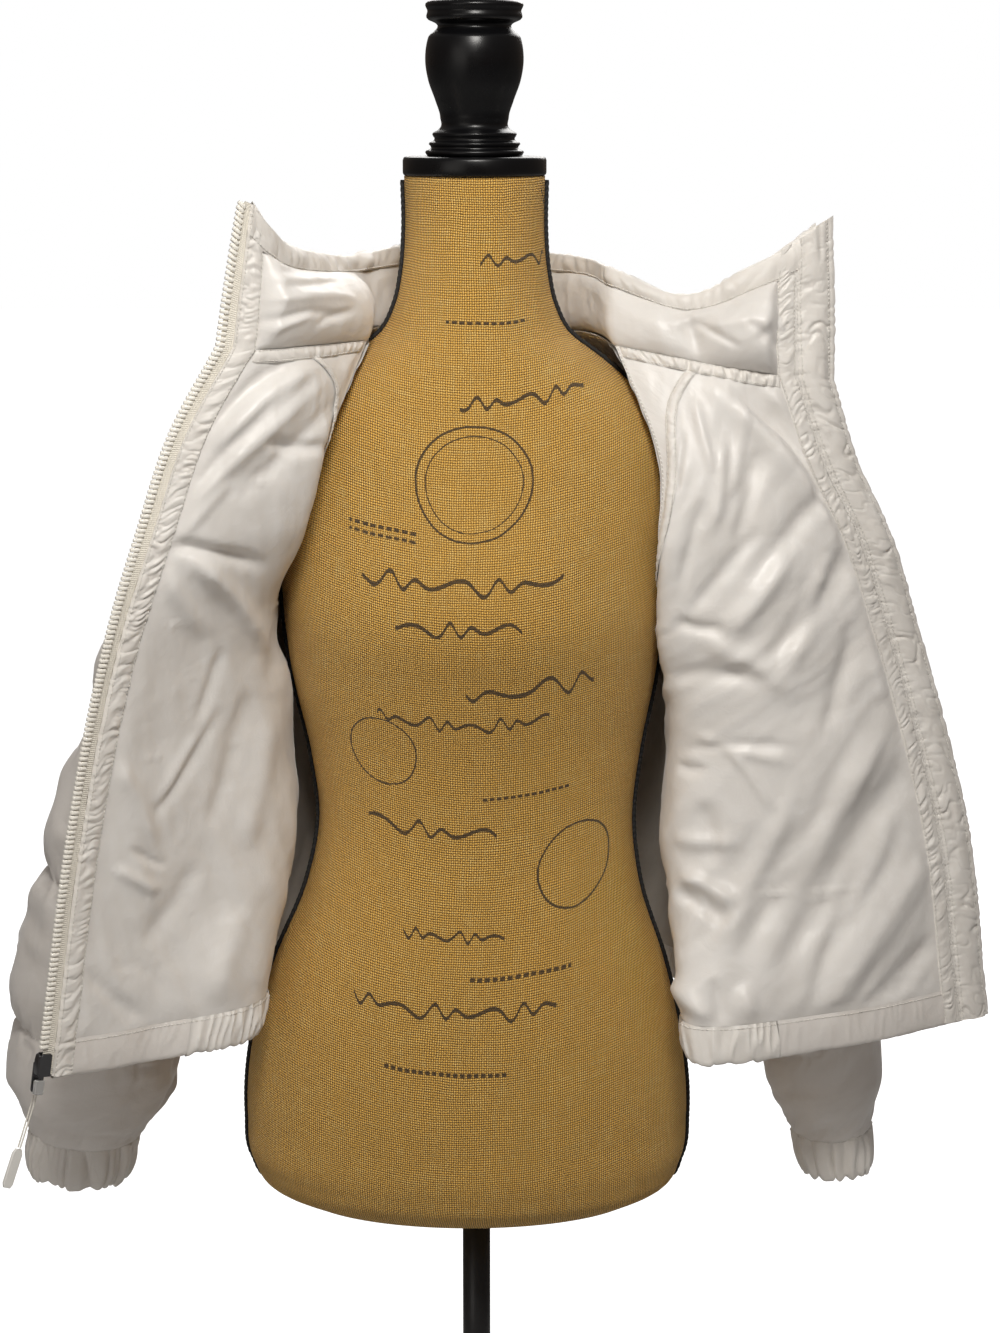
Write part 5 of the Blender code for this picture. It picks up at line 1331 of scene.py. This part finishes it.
def dressForm():
    rows, sides = 260, 180
    heights = np.linspace(size["torsoTop"], size["torsoBottom"], rows)
    line = torsoAt(heights)
    turn = math.pi / 2 - np.arange(sides) * 2 * math.pi / sides
    depth = np.where(np.sin(turn)[None] < 0, line[:, 1:2], line[:, 2:3])
    points = np.stack([line[:, 3:4] + line[:, :1] * np.cos(turn), depth * np.sin(turn),
                       heights[:, None] + 0 * turn], axis=-1)
    around = lengths(points, 1)
    around = around - around[:, sides // 2, None] + 0.165
    middle = (line[:, 3:4] + 0 * turn, 0 * points[..., 1])
    ends = [np.stack([middle[0][row], middle[1][row], points[row, :, 2]], axis=-1)[None] for row in (0, -1)]
    top, foot = (end + (rim - end) * 0.01 for end, rim in zip(ends, (points[:1], points[-1:])))
    whole = np.concatenate([top, points, foot])
    lengthDown = lengths(whole, 0)
    around = np.concatenate([around[:1], around, around[-1:]])
    item = gridMesh("formTorso", whole, burlapMaterial(), True, (around, lengthDown))
    place(item, "burlap", "form_torso")


braidLook = {
    "top": 1.096, "foot": .350, "rows": 520, "sides": 10, "lay": .009, "lift": 1.2 * mm,
    # the winding's reach and a strand's radius, each outward and then sideways
    "reach": (0.35 * mm, 0.9 * mm), "radius": (1.5 * mm, 1.7 * mm),
}


# Braided cord over the side seam: two strands wound round each other.
def piping(name, sign, node):
    heights = np.linspace(braidLook["top"], braidLook["foot"], braidLook["rows"])
    line = torsoAt(heights)
    centre = np.stack([line[:, 3] + sign * line[:, 0], 0 * heights, heights], axis=1)
    slope = np.gradient(centre, axis=0)
    outward = unit(np.stack([sign * -slope[:, 2], 0 * heights, sign * slope[:, 0]], axis=1))
    arc = lengths(centre[:, None], 0)[:, 0]
    side = np.array((0, 1, 0))
    turn = np.arange(braidLook["sides"]) * 2 * math.pi / braidLook["sides"]
    reach, radius = braidLook["reach"], braidLook["radius"]
    tubes = []
    for shift in (0, math.pi):
        wind = arc * 2 * math.pi / braidLook["lay"] + shift
        spine = centre + outward * (braidLook["lift"] + reach[0] * np.sin(wind))[:, None]
        spine = spine + side * (reach[1] * np.cos(wind))[:, None]
        tubes.append(spine[:, None] + outward[:, None] * (radius[0] * np.cos(turn))[None, :, None]
                     + side * (radius[1] * np.sin(turn))[None, :, None])
    black = solidSurface("black braid " + name, (.014, .014, .015), .7, 0, 2500.0, .3, 0, .9)
    items = [gridMesh(name + str(number), tube[:, ::-1], black, True) for number, tube in enumerate(tubes)]
    for item in items:
        place(item, "piping", node)


dressForm()
piping("pipingL", 1, "form_piping_l")
piping("pipingR", -1, "form_piping_r")

blackWood = solidSurface("black lacquer", (.0025, .0025, .003), .30, 0, 240.0, .01, 0, .05, .3)
blackMetal = solidSurface("black metal", (.018, .018, .019), .42, .4, 700.0, .08, .1, .2)
discFoot = 1.0993
finialTable = (
    (.0000, .0335), (.0040, .0340), (.0050, .0315), (.0095, .0318), (.0105, .0295), (.0160, .0295),
    (.0185, .0255), (.0270, .0243), (.0380, .0275), (.0520, .0325), (.0680, .0347), (.0820, .0325),
    (.0920, .0280), (.0935, .0315), (.1000, .0330), (.1070, .0315), (.1085, .0270), (.1180, .0230),
    (.1230, .0130),
)


def fineProfile(table, base, count):
    knots = np.array(table)
    at = np.unique(np.concatenate([np.linspace(knots[0, 0], knots[-1, 0], count), knots[:, 0]]))
    return np.stack([at + base, smooth(knots[:, 0], knots[:, 1], at)], axis=1)


discTable = ((0, .0495), (.0006, .0506), (.002, .0510), (.0105, .0510), (.0122, .0503), (.013, .049))
poleTable = ((.0443, .0105), (.3347, .0105))
baseTable = (
    (0, .1580), (.0006, .1594), (.002, .16), (.008, .16), (.0095, .1594), (.0115, .1575), (.0125, .1545),
    (.0145, .1), (.017, .05), (.019, .027), (.0205, .0226), (.042, .02), (.0435, .0192), (.044, .018),
)
discProfile = [(height + discFoot, radius) for height, radius in discTable]
finialProfile = fineProfile(finialTable, discFoot + .0133, 90)
turnedPieces = (
    # name, heights and radii, finish, sides, slot, node
    ("neckDisc", discProfile, blackWood, 96, "turned_wood", "neck_disc"),
    ("finial", finialProfile, blackWood, 96, "turned_wood", "finial"),
    ("pole", poleTable, blackMetal, 48, "black_metal", "pole"),
    ("base", baseTable, blackMetal, 128, "black_metal", "base"),
)
for name, profile, finish, sides, slot, node in turnedPieces:
    place(latheMesh(name, profile, finish, sides), slot, node)
print("form done")


# Studio: white floor and surround, soft key from above and in front.
studio = {
    "surround": 1.0, "ambient": 0.21, "above": (1.0, .98, .97), "below": (.40, .22, .09),
    "lamps": (
        # name, place, aim, size, power, colour
        ("key", (0.08, -1.3, 2.1), (0, 0, .9), 0.45, 26, (1, .975, .93)),
        ("fill", (-1.5, -2.2, 1.25), (0, 0, .8), 1.4, 7, (1, .965, .91)),
        ("rim", (0.3, 2.2, 2.4), (0, 0, .8), 1.8, 48, (1, .99, .97)),
    ),
}


# White floor and surround for the camera; the lamps, and a weak even light, light the jacket.
def stage():
    floor = bpy.data.meshes.new("floor")
    floor.from_pydata([(-12, -6, 0), (12, -6, 0), (12, 14, 0), (-12, 14, 0)], [], [(0, 1, 2, 3)])
    item = linked("floor", floor)
    paint, shader, add, link = shaderTree("floor", (.45, .45, .45), .9)
    shader.inputs["Emission Color"].default_value = (1, 1, 1, 1)
    link(mathNode(add, "MULTIPLY", add("LightPath").outputs["Is Camera Ray"], 1.0),
         shader.inputs["Emission Strength"])
    floor.materials.append(paint)
    world = bpy.data.worlds.new("studio")
    bpy.context.scene.world = world
    world.use_nodes = True
    nodes, links = world.node_tree.nodes, world.node_tree.links
    shown = nodes["Background"]
    shown.inputs[0].default_value = (1, 1, 1, 1)
    shown.inputs[1].default_value = studio["surround"]
    even = nodes.new("ShaderNodeBackground")
    ramp = nodes.new("ShaderNodeMapRange")
    toward, split = nodes.new("ShaderNodeTexCoord"), nodes.new("ShaderNodeSeparateXYZ")
    links.new(toward.outputs["Generated"], split.inputs[0])
    links.new(split.outputs["Z"], ramp.inputs["Value"])
    ramp.inputs["From Min"].default_value = -0.5
    tone = nodes.new("ShaderNodeMix")
    tone.data_type = "RGBA"
    tone.inputs["A"].default_value = (*studio["below"], 1)
    tone.inputs["B"].default_value = (*studio["above"], 1)
    links.new(ramp.outputs[0], tone.inputs["Factor"])
    links.new(tone.outputs["Result"], even.inputs[0])
    even.inputs[1].default_value = studio["ambient"]
    mix, path = nodes.new("ShaderNodeMixShader"), nodes.new("ShaderNodeLightPath")
    links.new(path.outputs["Is Camera Ray"], mix.inputs[0])
    links.new(even.outputs[0], mix.inputs[1])
    links.new(shown.outputs[0], mix.inputs[2])
    links.new(mix.outputs[0], nodes["World Output"].inputs[0])
    for name, spot, aim, wide, power, colour in studio["lamps"]:
        light = bpy.data.lights.new(name, "AREA")
        light.size = wide
        light.energy = power
        light.color = colour
        lamp = linked(name, light)
        lamp.location = spot
        ray = mathutils.Vector(aim) - mathutils.Vector(spot)
        lamp.rotation_euler = ray.to_track_quat("-Z", "Y").to_euler()
    bpy.context.scene.view_settings.view_transform = "Standard"


stage()
